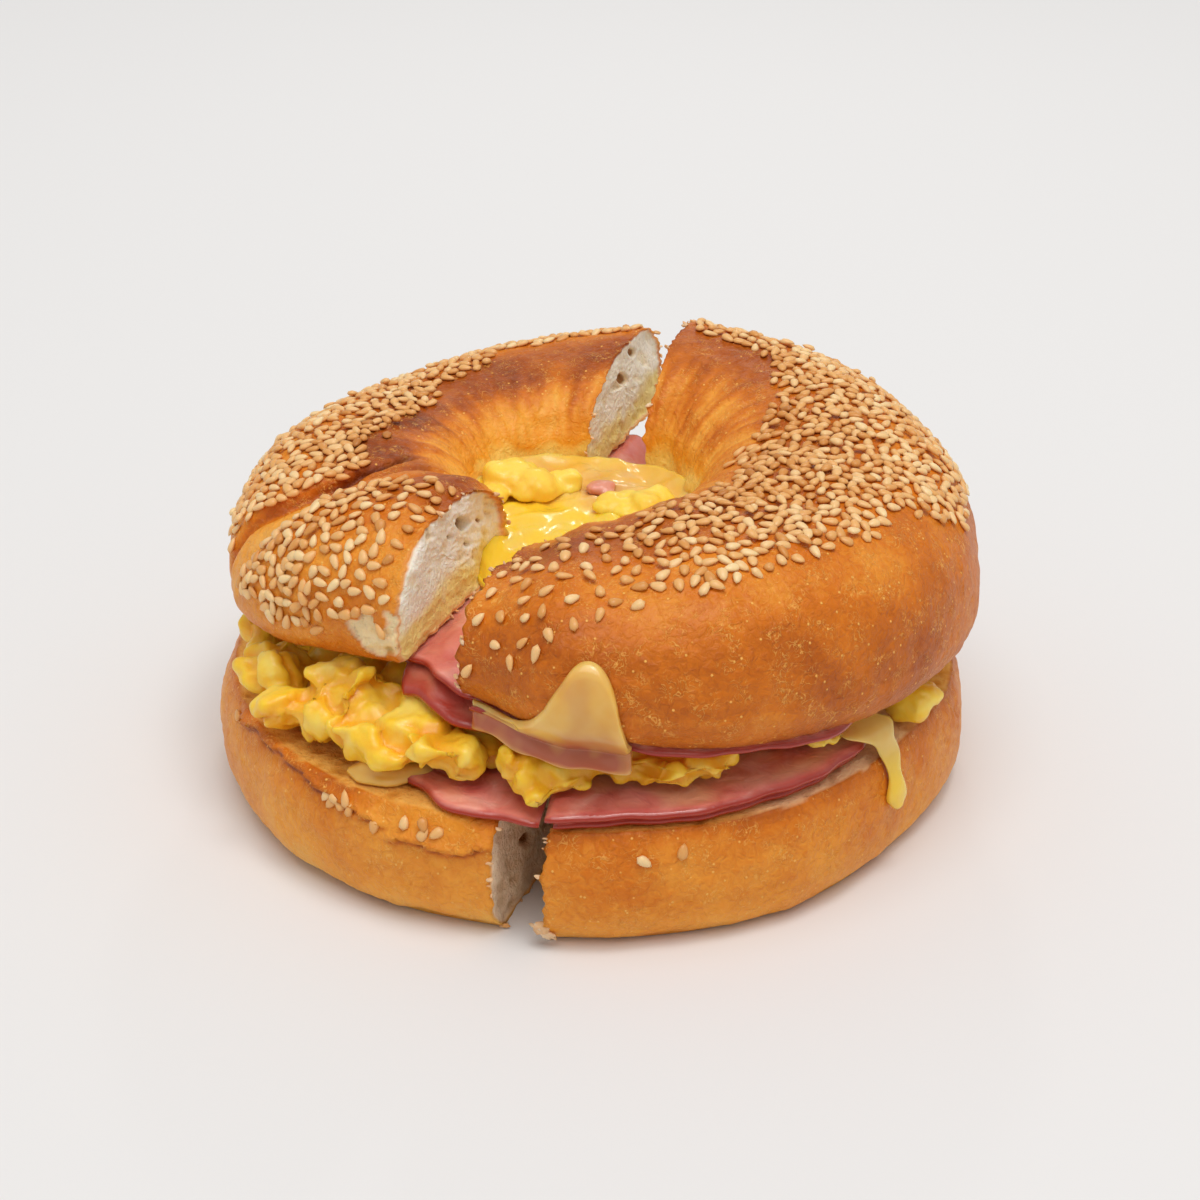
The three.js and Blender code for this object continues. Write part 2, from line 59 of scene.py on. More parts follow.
# The bagel
RIM = 60.8
HOLE = 18.0
HOLE_AT = (-3.0, 6.0)
HEEL_HOLE_AT = (6.0, 2.0)
HEEL_HEIGHT = 19.0
CUT_LEAN = 21.0  # degrees that the cut turns from straight back
CUT_FRONT = 270.0 - CUT_LEAN
CUT_BACK = 90.0 - CUT_LEAN
CUT_OPEN = 7.5
CUT_WAY = np.array([math.cos(math.radians(CUT_LEAN)), -math.sin(math.radians(CUT_LEAN)), 0.0])

# The filling
HAM = 1.2
CHEESE = 1.2
POOL_LEVEL = 41.0
GAP = 0.35

# The camera, as the photo's view gives it: place in millimetres, and degrees
CAMERA_AT = (0.0, -379.3, 214.3)
CAMERA_DOWN = 26.287
CAMERA_TURN = -0.087
LENS = 78.9
SENSOR = 36.0

# From the middle of the floor to its sides, in metres
FLOOR_REACH = 8.0


def crown_floor_left(x, y):
    """Height of the left crown half's sliced face."""
    return 38 + 0.15 * x - 0.03 * y


def crown_floor_right(x, y):
    """Height of the right crown half's sliced face."""
    return 32.4 - 0.1 * x + 0 * y


# The bread halves, by azimuth round each one's own middle, which lies on its cut
HALVES = {
    "crown_left": {
        "middle": (-8.2, 7.0),
        "from": CUT_BACK,
        "to": CUT_FRONT - 4,
        "rim_at": (0.0, 2.0),
        "rim": RIM - 2.5,
        "drawn_in": [[69, 1], [100, 0], [205, 0], [245, 8]],
        "rise": [
            [69, 17.5], [120, 18], [170, 20], [195, 18.5], [205, 16], [216, 20], [236, 20.5], [245, 18.5],
        ],
        "hole": [[69, 1], [150, 0], [200, -2], [245, -2]],
        "crest": 0.6,
        "waist": 0.3,
        "floor": crown_floor_left,
    },
    "crown_right": {
        "middle": (2.2, 7.0),
        "from": CUT_FRONT - 361,
        "to": CUT_BACK,
        "rim_at": (0.0, 0.0),
        "rim": RIM,
        "drawn_in": [[-112, 9], [-95, 2], [-75, 0], [40, 0], [69, 3]],
        "rise": [[-112, 15], [-95, 21], [-70, 25], [-30, 26.5], [20, 27.5], [69, 27.5]],
        "hole": [[-112, 0], [0, 0], [69, 1]],
        "crest": 0.6,
        "waist": 0.28,
        "floor": crown_floor_right,
    },
    "heel_left": {
        "middle": (6.8, 0.0),
        "from": CUT_BACK,
        "to": CUT_FRONT,
        "rim_at": (0.0, 0.0),
        "rim": RIM,
        "drawn_in": [[69, 0], [230, 0], [249, 1]],
    },
    "heel_right": {
        "middle": (15.6, 0.0),
        "from": CUT_FRONT - 360,
        "to": CUT_BACK,
        "rim_at": (-1.0, -0.5),
        "rim": RIM,
        "drawn_in": [[-111, 0], [-85, 0], [-45, 2.2], [-12, 0.5], [69, 0]],
    },
}


def smooth(v):
    """An eased step from 0 to 1."""
    v = np.clip(v, 0, 1)
    return v * v * (3 - 2 * v)


def power(v, p):
    """A power that keeps the sign."""
    return np.sign(v) * np.abs(v) ** p


def along(keys, azimuth):
    """The value at each azimuth between keys (azimuth, value), eased."""
    table = np.array(keys, dtype=float)
    at = np.clip(azimuth, table[0, 0], table[-1, 0])
    i = np.clip(np.searchsorted(table[:, 0], at), 1, len(table) - 1)
    share = (at - table[i - 1, 0]) / (table[i, 0] - table[i - 1, 0])
    return table[i - 1, 1] + (table[i, 1] - table[i - 1, 1]) * smooth(share)


def to_circle(middle, centre, radius, azimuth):
    """Distance from a point inside a circle to the circle, along an azimuth."""
    a = np.radians(azimuth)
    dx = centre[0] - middle[0]
    dy = centre[1] - middle[1]
    near = dx * np.cos(a) + dy * np.sin(a)
    return near + np.sqrt(radius**2 - dx**2 - dy**2 + near**2)


def crown_point(half, azimuth, turn, out=0.0):
    """Points of a crown half's skin, and how far each lies above the sliced face before it is cut."""
    middle = half["middle"]
    a, t = np.radians(azimuth), np.radians(turn)
    outer = to_circle(middle, half["rim_at"], half["rim"], azimuth) - along(half["drawn_in"], azimuth)
    inner = to_circle(middle, HOLE_AT, HOLE, azimuth) + along(half["hole"], azimuth)
    crest = inner + half["crest"] * (outer - inner)
    rise = along(half["rise"], azimuth)
    waist = half["waist"] * rise
    c, s = np.cos(t), np.sin(t)
    across = np.where(c > 0, outer - crest, crest - inner) + out
    up = np.where(s > 0, rise - waist, 1.6 * waist) + out
    r = crest + across * power(c, 0.86)
    x = middle[0] + r * np.cos(a)
    y = middle[1] + r * np.sin(a)
    height = waist + up * power(s, 0.9)
    z = half["floor"](x, y) + np.maximum(-out, height)
    return np.stack([x, y, z], axis=-1), height


def heel_point(half, azimuth, turn, out=0.0):
    """Points of a heel half's skin, and how far each lies under the sliced face before it is cut."""
    middle = half["middle"]
    a, t = np.radians(azimuth), np.radians(turn)
    outer = to_circle(middle, half["rim_at"], half["rim"], azimuth) - along(half["drawn_in"], azimuth)
    inner = to_circle(middle, HEEL_HOLE_AT, HOLE, azimuth)
    mid = (outer + inner) / 2
    c, s = np.cos(t), np.sin(t)
    waist = 0.55 * HEEL_HEIGHT
    r = mid + ((outer - inner) / 2 + out) * power(c, 0.55)
    lift = np.where(s > 0, (1.7 * (HEEL_HEIGHT - waist) + out) * s, 1.2 * (waist + out) * power(s, 0.62))
    x = middle[0] + r * np.cos(a)
    y = middle[1] + r * np.sin(a)
    z = np.clip(waist + lift, -out, HEEL_HEIGHT + out)
    return np.stack([x, y, z], axis=-1), HEEL_HEIGHT - waist - lift


def lid(x, y):
    """The top of the filling, which follows both sliced faces."""
    mx, my = HALVES["crown_left"]["middle"]
    over = smooth(((x - mx) * CUT_WAY[0] + (y - my) * CUT_WAY[1]) / CUT_OPEN)
    return crown_floor_left(x, y) * (1 - over) + crown_floor_right(x, y) * over


def rough(points, size, shift=0.0):
    """Noise of about -1 to 1 at each point, with bumps size mm across."""
    flat = (np.asarray(points).reshape(-1, 3) / size + shift).tolist()
    made = np.array([noise.noise(p) for p in flat]) * 1.6
    return made.reshape(np.asarray(points).shape[:-1])


def pores(points, size, share=0.5, shift=0.0):
    """Depth of crumb pores at each point, 0 to 1: cells size mm across, of which a share are hollow."""
    flat = (np.asarray(points).reshape(-1, 3) / size + shift).tolist()
    depth = []
    for p in flat:
        near, cells = noise.voronoi(p)
        chance = math.sin(cells[0].dot((12.9898, 78.233, 37.719))) * 43758.5453 % 1
        open_cell = max(0.0, 1 - chance / share)
        depth.append(min(1.0, (near[1] - near[0]) / 0.5) * math.sqrt(open_cell))
    return np.array(depth).reshape(np.asarray(points).shape[:-1])


def unit(v):
    """Vectors of length 1."""
    return v / np.maximum(np.linalg.norm(v, axis=-1, keepdims=True), 1e-9)


def grid_quads(rows, columns, wrap=False):
    """Quads over a grid of points, row by row, joined round the columns where it wraps."""
    i, j = np.meshgrid(np.arange(rows - 1), np.arange(columns if wrap else columns - 1), indexing="ij")
    a = i * columns + j
    b = i * columns + (j + 1) % columns
    return np.stack([a, a + columns, b + columns, b], axis=-1).reshape(-1, 4)


def sheet(top, under):
    """A thin closed shell from two grids of points, joined round their border."""
    rows, columns = top.shape[:2]
    n = rows * columns
    quads = grid_quads(rows, columns)
    faces = quads.tolist() + (quads[:, ::-1] + n).tolist()
    border = list(range(columns))
    border += [i * columns + columns - 1 for i in range(1, rows)]
    border += [(rows - 1) * columns + j for j in range(columns - 2, -1, -1)]
    border += [i * columns for i in range(rows - 2, 0, -1)]
    for p, q in zip(border, border[1:] + border[:1]):
        faces.append((p, q, q + n, p + n))
    return np.concatenate([top.reshape(-1, 3), under.reshape(-1, 3)]), faces


def tube_faces(rings, sides):
    """Faces of a tube of rings, closed at both ends."""
    faces = grid_quads(rings, sides, wrap=True).tolist()
    faces.append(list(range(sides)))
    faces.append([(rings - 1) * sides + j for j in range(sides - 1, -1, -1)])
    return faces


def make_piece(name, points, faces, material, replaces=(), marks=None):
    """A mesh object in the row frame that rides with the part. marks are numbers at its points."""
    mesh = bpy.data.meshes.new(name)
    mesh.from_pydata(((np.asarray(points) + SHIFT) * MM).tolist(), [], [list(map(int, f)) for f in faces])
    mesh.shade_smooth()
    for mark, values in (marks or {}).items():
        layer = mesh.attributes.new(mark, "FLOAT", "POINT")
        layer.data.foreach_set("value", np.asarray(values, dtype=np.float32).ravel())
    mesh.materials.append(material)
    piece = bpy.data.objects.new(name, mesh)
    bpy.context.scene.collection.objects.link(piece)
    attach(piece, "root")
    if replaces:
        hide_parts(*replaces)
    return piece


# Colour and materials


def srgb(code):
    """A colour's sRGB hex code as linear red, green, blue and alpha."""
    parts = [int(code[i : i + 2], 16) / 255 for i in (1, 3, 5)]
    return (*[p / 12.92 if p <= 0.04045 else ((p + 0.055) / 1.055) ** 2.4 for p in parts], 1.0)


def opaque(colour):
    """A setting's colour as red, green, blue and alpha."""
    return (*colour, 1.0)


def set_inputs(tree, node, inputs):
    """Sets a node's inputs to values, or links them from sockets."""
    for name, value in inputs.items():
        if isinstance(value, bpy.types.NodeSocket):
            tree.links.new(value, node.inputs[name])
        else:
            node.inputs[name].default_value = value


def add_node(tree, kind, inputs=None, stops=None, **settings):
    """Adds a node with its settings. inputs take values or the sockets that they are linked from.

    A MapRange's inputs 1 to 4 are the range read and the range given, and a Mix of colours has
    its colours at inputs 6 and 7 and its result at output 2.
    """
    node = tree.nodes.new("ShaderNode" + kind)
    for name, value in settings.items():
        setattr(node, name, value)
    set_inputs(tree, node, inputs or {})
    if stops:
        ramp = node.color_ramp
        while len(ramp.elements) < len(stops):
            ramp.elements.new(0.5)
        for element, (place, colour) in zip(ramp.elements, stops):
            element.position = place
            element.color = colour
    return node


def new_material(name):
    """An empty material: its node tree, its shader and its object coordinates."""
    material = bpy.data.materials.new(name)
    material.use_nodes = True
    tree = material.node_tree
    shader = tree.nodes["Principled BSDF"]
    where = add_node(tree, "TexCoord").outputs["Object"]
    return material, tree, shader, where


def per_metre(size_mm):
    """The texture scale that gives features of a size in millimetres."""
    return 1 / (size_mm * MM)


def bread_material(look):
    """Baked bagel dough: boiled and then baked, so the crust is thin, glossy and finely wrinkled,
    golden brown with paler curls and specks, which are partly painted glints. Where it is cut, the crumb is
    cream and dull, with painted shade in its pores."""
    material, tree, shader, where = new_material("baked_bagel_dough")
    bake_and_shade, crumb, soak, toast_and_bounce, pore_shade = (
        add_node(tree, "Attribute", attribute_name=mark).outputs["Fac"]
        for mark in ("bake_and_shade", "crumb", "soak", "toast_and_bounce", "pore_shade")
    )
    # Baked in blotches about 13 mm across, with a grain of 1.3 mm
    blotch = add_node(
        tree, "TexNoise", {"Vector": where, "Scale": per_metre(13), "Detail": 5.0, "Roughness": 0.55}
    )
    fine = add_node(
        tree, "TexNoise", {"Vector": where, "Scale": per_metre(1.3), "Detail": 3.0, "Distortion": 1.2}
    )
    shade = add_node(tree, "Math", {0: blotch.outputs["Fac"], 1: 0.6, 2: -0.44}, operation="MULTIPLY_ADD")
    shade = add_node(
        tree, "Math", {0: fine.outputs["Fac"], 1: 0.28, 2: shade.outputs[0]}, operation="MULTIPLY_ADD"
    )
    shade = add_node(tree, "Math", {0: shade.outputs[0], 1: bake_and_shade}, operation="ADD")
    crust = add_node(
        tree,
        "ValToRGB",
        {"Fac": shade.outputs[0]},
        stops=[
            (0.0, srgb("#F9C25C")),
            (0.28, opaque(look.crust_pale)),
            (0.52, opaque(look.crust_gold)),
            (0.78, opaque(look.crust_brown)),
            (1.0, srgb("#742E04")),
        ],
    )
    # Curled wrinkles: thin curls where a noise crosses its middle, broken up by a coarser one.
    # Real ones are finer, and these are as coarse as they need to be to show. Their pale colour, and
    # that of the specks, is partly the crust's own blisters and partly painted glints
    curl = add_node(
        tree, "TexNoise", {"Vector": where, "Scale": per_metre(1.7), "Detail": 1.5, "Distortion": 1.8}
    )
    line = add_node(tree, "Math", {0: curl.outputs["Fac"], 1: 0.5}, operation="SUBTRACT")
    line = add_node(tree, "Math", {0: line.outputs[0]}, operation="ABSOLUTE")
    line = add_node(tree, "MapRange", {0: line.outputs[0], 1: 0.0, 2: 0.035, 3: 1.0, 4: 0.0})
    broken = add_node(tree, "TexNoise", {"Vector": where, "Scale": per_metre(3.4), "Detail": 1.0})
    broken = add_node(tree, "MapRange", {0: broken.outputs["Fac"], 1: 0.45, 2: 0.62, 3: 0.0, 4: 0.6})
    line = add_node(tree, "Math", {0: line.outputs[0], 1: broken.outputs[0]}, operation="MULTIPLY")
    speck = add_node(tree, "TexVoronoi", {"Vector": where, "Scale": per_metre(1.8), "Randomness": 1.0})
    speck = add_node(tree, "MapRange", {0: speck.outputs["Distance"], 1: 0.07, 2: 0.14, 3: 0.9, 4: 0.0})
    light = add_node(tree, "Math", {0: line.outputs[0], 1: speck.outputs[0]}, operation="MAXIMUM")
    # Paints the curls and specks pale: partly blisters, partly painted glints
    crust = add_node(
        tree,
        "Mix",
        {0: light.outputs[0], 6: crust.outputs["Color"], 7: srgb("#FCBE5E")},
        data_type="RGBA",
    )
    # Where the hole's wall is soaked it turns golden, and lower down cheese and yolk coat it. The
    # golden up the wall is partly painted light, bounced from the yellow pool
    for low, high, most, tint in ((0.0, 0.5, 0.9, "#F4A62C"), (0.5, 1.0, 0.95, "#F8D36C")):
        share = add_node(tree, "MapRange", {0: soak, 1: low, 2: high, 3: 0.0, 4: most})
        crust = add_node(
            tree, "Mix", {0: share.outputs[0], 6: crust.outputs[2], 7: srgb(tint)}, data_type="RGBA"
        )
    # Fine cells of the crumb, between the pores that the mesh itself has. Each cell and each pore is
    # painted darker by its depth, as painted shade
    cells = add_node(tree, "TexVoronoi", {"Vector": where, "Scale": per_metre(1.0), "Randomness": 1.0})
    hollow = add_node(tree, "MapRange", {0: cells.outputs["Distance"], 1: 0.1, 2: 0.5, 3: 0.3, 4: 0.0})
    hollow = add_node(tree, "Math", {0: hollow.outputs[0], 1: pore_shade}, operation="MAXIMUM")
    soft = add_node(
        tree,
        "ValToRGB",
        {"Fac": hollow.outputs[0]},
        stops=[(0.1, opaque(look.crumb)), (0.6, opaque(look.crumb_shade)), (1.0, srgb("#9A6630"))],
    )
    soaked = add_node(
        tree, "Mix", {0: soak, 6: soft.outputs["Color"], 7: srgb("#F9DE7C")}, data_type="RGBA"
    )
    # The toasted face, with painted shade in its pores
    toasted = add_node(
        tree,
        "ValToRGB",
        {"Fac": hollow.outputs[0]},
        stops=[(0.0, srgb("#F4B658")), (0.4, srgb("#E49A3A")), (1.0, srgb("#A65E1C"))],
    )
    # Toasted where the heel's face was toasted; on the heel's cut crumb this tint is painted warm bounce
    # light
    inside = add_node(
        tree, "Mix", {0: toast_and_bounce, 6: soaked.outputs[2], 7: toasted.outputs["Color"]}, data_type="RGBA"
    )
    colour = add_node(tree, "Mix", {0: crumb, 6: crust.outputs[2], 7: inside.outputs[2]}, data_type="RGBA")
    dull = add_node(tree, "MapRange", {0: crumb, 1: 0.0, 2: 1.0, 3: 0.42, 4: 0.75})
    dull = add_node(tree, "Math", {0: soak, 1: -0.16, 2: dull.outputs[0]}, operation="MULTIPLY_ADD")
    height = add_node(
        tree, "Math", {0: light.outputs[0], 1: 0.2, 2: fine.outputs["Fac"]}, operation="MULTIPLY_ADD"
    )
    walls = add_node(tree, "Math", {0: cells.outputs["Distance"], 1: crumb}, operation="MULTIPLY")
    height = add_node(
        tree, "Math", {0: walls.outputs[0], 1: 0.3, 2: height.outputs[0]}, operation="MULTIPLY_ADD"
    )
    bump = add_node(tree, "Bump", {"Strength": 1.0, "Distance": 0.4 * MM, "Height": height.outputs[0]})
    surface = {
        "Base Color": colour.outputs[2],
        "Roughness": dull.outputs[0],
        "Normal": bump.outputs[0],
        "Specular IOR Level": 0.24,
        "Subsurface Weight": 0.12,
        "Subsurface Radius": (1.0, 0.6, 0.3),
        "Subsurface Scale": 1.2 * MM,
        "Coat Weight": 0.06,
        "Coat Roughness": 0.25,
    }
    set_inputs(tree, shader, surface)
    return material


def seed_material(look):
    """Hulled sesame, toasted: smooth and slightly waxy, cream with some seeds browner."""
    material, tree, shader, _ = new_material("toasted_sesame")
    tone = add_node(tree, "Attribute", attribute_name="tone").outputs["Fac"]
    colour = add_node(
        tree,
        "ValToRGB",
        {"Fac": tone},
        stops=[
            (0.0, srgb("#F9DCA6")),
            (0.45, opaque(look.seed)),
            (0.8, srgb("#D48E42")),
            (1.0, srgb("#A86428")),
        ],
    )
    surface = {
        "Base Color": colour.outputs["Color"],
        "Roughness": 0.34,
        "Specular IOR Level": 0.4,
        "Subsurface Weight": 0.2,
        "Subsurface Radius": (1.0, 0.7, 0.4),
        "Subsurface Scale": 0.5 * MM,
    }
    set_inputs(tree, shader, surface)
    return material


def ham_material(look):
    """Cooked ham from a cure: sliced smooth and wet, pink with paler marbling, and a dark red rind.
    The rind colour is also laid over the slice that hangs in shade, as painted shade.
    """
    material, tree, shader, where = new_material("sliced_ham")
    rind = add_node(tree, "Attribute", attribute_name="rind").outputs["Fac"]
    film = add_node(tree, "Attribute", attribute_name="film").outputs["Fac"]
    marble = add_node(
        tree, "TexNoise", {"Vector": where, "Scale": per_metre(7), "Detail": 4.0, "Distortion": 0.8}
    )
    meat = add_node(
        tree,
        "ValToRGB",
        {"Fac": marble.outputs["Fac"]},
        stops=[(0.3, opaque(look.ham_deep)), (0.52, opaque(look.ham)), (0.75, srgb("#F4B4A6"))],
    )
    # The rind colour, also used as painted shade on the slice that hangs in shade
    edged = add_node(
        tree, "Mix", {0: rind, 6: meat.outputs["Color"], 7: opaque(look.rind)}, data_type="RGBA"
    )
    coated = add_node(tree, "Mix", {0: film, 6: edged.outputs[2], 7: srgb("#ECB490")}, data_type="RGBA")
    wet = add_node(
        tree, "TexNoise", {"Vector": where, "Scale": per_metre(3.2), "Detail": 2.0, "Distortion": 0.6}
    )
    bump = add_node(tree, "Bump", {"Strength": 0.7, "Distance": 0.7 * MM, "Height": wet.outputs["Fac"]})
    surface = {
        "Base Color": coated.outputs[2],
        "Normal": bump.outputs[0],
        "Roughness": 0.3,
        "Specular IOR Level": 0.35,
        "Subsurface Weight": 0.3,
        "Subsurface Radius": (1.0, 0.35, 0.25),
        "Subsurface Scale": 1.5 * MM,
        "Coat Weight": 0.7,
        "Coat Roughness": 0.06,
    }
    set_inputs(tree, shader, surface)
    return material


def egg_material(look):
    """Scrambled egg, cooked soft: yellow curds that let some light in, with a wet shine, and a deeper
    yellow in the gaps between them, which is painted shade. The bits in the hole are painted paler,
    partly as painted light."""
    material, tree, shader, where = new_material("scrambled_egg")
    melt_and_light, cleft_and_shade = (
        add_node(tree, "Attribute", attribute_name=mark).outputs["Fac"] for mark in ("melt_and_light", "cleft_and_shade")
    )
    cloud = add_node(
        tree, "TexNoise", {"Vector": where, "Scale": per_metre(6), "Detail": 4.0, "Distortion": 0.5}
    )
    colour = add_node(
        tree,
        "ValToRGB",
        {"Fac": cloud.outputs["Fac"]},
        stops=[(0.28, opaque(look.egg_deep)), (0.5, opaque(look.egg)), (0.78, srgb("#FFE47C"))],
    )
    # Paler on the bits in the hole: partly melting, partly painted light
    colour = add_node(
        tree, "Mix", {0: melt_and_light, 6: colour.outputs["Color"], 7: srgb("#FFE260")}, data_type="RGBA"
    )
    # A deeper yellow in the gaps between lumps: painted shade
    colour = add_node(tree, "Mix", {0: cleft_and_shade, 6: colour.outputs[2], 7: srgb("#EC9A16")}, data_type="RGBA")
    fine = add_node(tree, "TexNoise", {"Vector": where, "Scale": per_metre(1.4), "Detail": 3.0})
    bump = add_node(tree, "Bump", {"Strength": 0.45, "Distance": 0.3 * MM, "Height": fine.outputs["Fac"]})
    surface = {
        "Base Color": colour.outputs[2],
        "Normal": bump.outputs[0],
        "Roughness": 0.36,
        "Specular IOR Level": 0.35,
        "Subsurface Weight": 0.4,
        "Subsurface Radius": (1.0, 0.65, 0.15),
        "Subsurface Scale": 2.5 * MM,
        "Coat Weight": 0.2,
        "Coat Roughness": 0.12,
    }
    set_inputs(tree, shader, surface)
    return material


def cheese_material(look):
    """Sliced cheese, melted and half set: pale, waxy and translucent, so ham or egg tints it."""
    material, tree, shader, where = new_material("melted_cheese")
    blush = add_node(tree, "Attribute", attribute_name="blush").outputs["Fac"]
    yolk = add_node(tree, "Attribute", attribute_name="yolk").outputs["Fac"]
    cloud = add_node(tree, "TexNoise", {"Vector": where, "Scale": per_metre(8), "Detail": 3.0})
    pale = add_node(
        tree,
        "ValToRGB",
        {"Fac": cloud.outputs["Fac"]},
        stops=[(0.3, srgb("#EAB04A")), (0.7, opaque(look.cheese))],
    )
    tinted = add_node(
        tree, "Mix", {0: blush, 6: pale.outputs["Color"], 7: srgb("#B25C36")}, data_type="RGBA"
    )
    tinted = add_node(
        tree, "Mix", {0: yolk, 6: tinted.outputs[2], 7: opaque(look.yolk)}, data_type="RGBA"
    )
    surface = {
        "Base Color": tinted.outputs[2],
        "Roughness": 0.25,
        "Subsurface Weight": 0.6,
        "Subsurface Radius": (1.0, 0.75, 0.35),
        "Subsurface Scale": 2.5 * MM,
        "Coat Weight": 0.4,
        "Coat Roughness": 0.1,
    }
    set_inputs(tree, shader, surface)
    return material


# Bread


def even_turns(half, point, count):
    """Turns round the section that lie evenly along its outline, and farther apart where it is flat."""
    fine = np.linspace(0, 360, 1441)
    middle = (half["from"] + half["to"]) / 2
    outline, height = point(half, middle + 0 * fine, fine)
    flat = (height < -0.5) | (outline[:, 2] < 0.2)
    steps = np.linalg.norm(np.diff(outline, axis=0), axis=1) * np.where(flat[1:], 0.4, 1)
    length = np.concatenate([[0], np.cumsum(steps)])
    return np.interp(np.linspace(0, length[-1], count, endpoint=False), length, fine)


# How dark each half is baked, by turn round the section: outward 0, top 90, hole side 180
BAKE = {
    "crown_left": [
        [0, 0.4], [40, 0.38], [80, 0.5], [98, 0.78], [116, 0.78], [135, 0.5],
        [155, 0.36], [180, 0.3], [230, 0.2], [320, 0.5], [360, 0.4],
    ],
    "crown_right": [
        [0, 0.62], [25, 0.6], [50, 0.5], [75, 0.5], [96, 0.7], [114, 0.68],
        [132, 0.44], [155, 0.34], [180, 0.3], [230, 0.2], [330, 0.62], [360, 0.56],
    ],
    "heel_left": [[0, 0.34], [30, 0.42], [180, 0.4], [300, 0.14], [330, 0.2], [360, 0.34]],
    "heel_right": [[0, 0.42], [30, 0.5], [180, 0.4], [300, 0.16], [330, 0.28], [360, 0.42]],
}
# Where the upper strand of dough folds over the lower one on the left crown: azimuth by turn
FOLD = {
    "above": [[0, 195], [30, 196.5], [77, 199.5], [93, 199], [106, 194], [125, 187]],
    "below": [[0, 207], [30, 208], [77, 214], [93, 216.5], [106, 221], [125, 228]],
}
# Patches torn off the crust: azimuth, turn, radius
TORN = {"crown_left": [(239, 0, 2.4), (241, -15, 2.6), (244.6, 8, 1.6), (245, -10, 2.8)]}
# Large pores on a cut: which end, distance from the half's middle, height, radius, depth
LARGE_PORES = {
    "crown_left": [
        (-1, 27.0, 48.4, 1.35, 2.6), (-1, 25.4, 44.2, 0.7, 1.2), (-1, 31.5, 48.0, 0.6, 0.9),
        (-1, 20.5, 46.0, 0.8, 0.6), (0, 36.0, 49.0, 1.3, 0.8), (0, 41.0, 52.0, 1.1, 0.7),
    ],
    "crown_right": [(0, 30.0, 47.0, 1.8, 1.4), (-1, 33.0, 50.0, 1.6, 1.4)],
    "heel_left": [(-1, 47.0, 9.0, 1.4, 1.2)],
    "heel_right": [(0, 40.0, 11.0, 1.4, 1.2)],
}
# Wrinkles in the left heel's crust, where one layer of it ends over another: turn by azimuth
WRINKLES = [
    [[197, 30], [211, 31], [223, 27.5], [234, 21]],
    [[233, 13], [238, 15], [242, 11.6], [249, 18]],
]
# Points along a half, round its section, and from the edge of a cut to its middle
MESH = {"crown": (310, 204, 40), "heel": (300, 140, 30)}
# How far the pores of a cut lean, as rise over run
PORE_LEAN = 0.45
# Flakes on the edge of each cut
FLAKES = 16
# The crumb at the foot of the right heel: its place as a share of the edge, and its flakes, each
# one shorter than the one before it
FOOT_CRUMB = {"at": 0.885, "flakes": 3, "size": (2.2, 0.9, 0.5), "shorter": 0.5}


def hole_wall(turn):
    """1 on a crown half's side of the hole, 0 elsewhere."""
    return smooth((turn - 100) / 30) * smooth((215 - turn) / 25)


def crust_relief(name, a, t, skin):
    """How far a half's crust stands out, its streaks, and the marks that darken it: painted shade
    along the fold's crease and at the foot of each wrinkle, and a paler band between the fold's edges.
    """
    turned = np.where(t > 270, t - 360, t)
    crust = 0.3 * rough(skin, 15) + 0.16 * rough(skin, 5.5, 3.0) + 0.11 * rough(skin, 1.9, 7.0)
    creases = smooth(1 - np.abs(rough(skin, 3.4, 17.0)) / 0.12)
    crust = crust - 0.16 * creases * smooth(0.5 + 2 * rough(skin, 9, 1.0))
    streaks, lines_and_shade = np.zeros_like(a), np.zeros_like(a)
    if name.startswith("crown"):
        wall = hole_wall(t)
        around = np.stack([a * 0.24, t * 0.035, 0 * a], axis=-1)
        streaks = wall * (0.7 * rough(around, 2.2, 11.0) + 0.4 * rough(around, 0.8, 4.0))
        crust += wall * (0.3 * streaks + 0.5 * rough(skin, 5, 21.0) * smooth((t - 135) / 25))
    else:
        crust = np.where(skin[..., 2] < 0.3, 0, crust)
    if name == "crown_left":
        above, below = along(FOLD["above"], turned), along(FOLD["below"], turned)
        shown = smooth((turned + 10) / 20) * smooth((128 - turned) / 15)
        crust -= shown * 1.7 * np.exp(-(((a - above - 1.6) / 1.8) ** 2))
        crust -= shown * 0.6 * np.exp(-(((a - below) / 1.8) ** 2))
        # A dark line along the fold's edge: painted shade in the crease
        lines_and_shade += shown * 0.25 * np.exp(-(((a - above - 0.8) / 0.9) ** 2))
        lines_and_shade -= shown * 0.2 * smooth((a - above - 2) / 2) * smooth((below - a) / 2)
    for wrinkle in WRINKLES if name == "heel_left" else ():
        over = turned - along(wrinkle, a) - 2.5 * rough(skin, 4)
        shown = smooth((a - wrinkle[0][0]) / 4) * smooth((wrinkle[-1][0] - a) / 3 + 0.3)
        crust += 1.3 * shown * smooth(over / 0.8 + 0.5) * np.exp(-np.clip(over, 0, 99) / 9)
        # A dark line at the foot of each wrinkle's step: painted shade
        lines_and_shade += 0.4 * shown * np.exp(-(((over + 0.8) / 1.1) ** 2))
    return crust, streaks, lines_and_shade


def torn_patches(name, point, skin):
    """1 where a patch is torn off a half's crust."""
    torn = np.zeros(skin.shape[:-1])
    for azimuth, turn, radius in TORN.get(name, []):
        at, _ = point(HALVES[name], np.array(azimuth), np.array(turn))
        near = radius - np.linalg.norm(skin - at, axis=-1) + 1.3 * rough(skin, 2.5, 6.0)
        torn = np.maximum(torn, smooth(near / 0.5))
    return torn


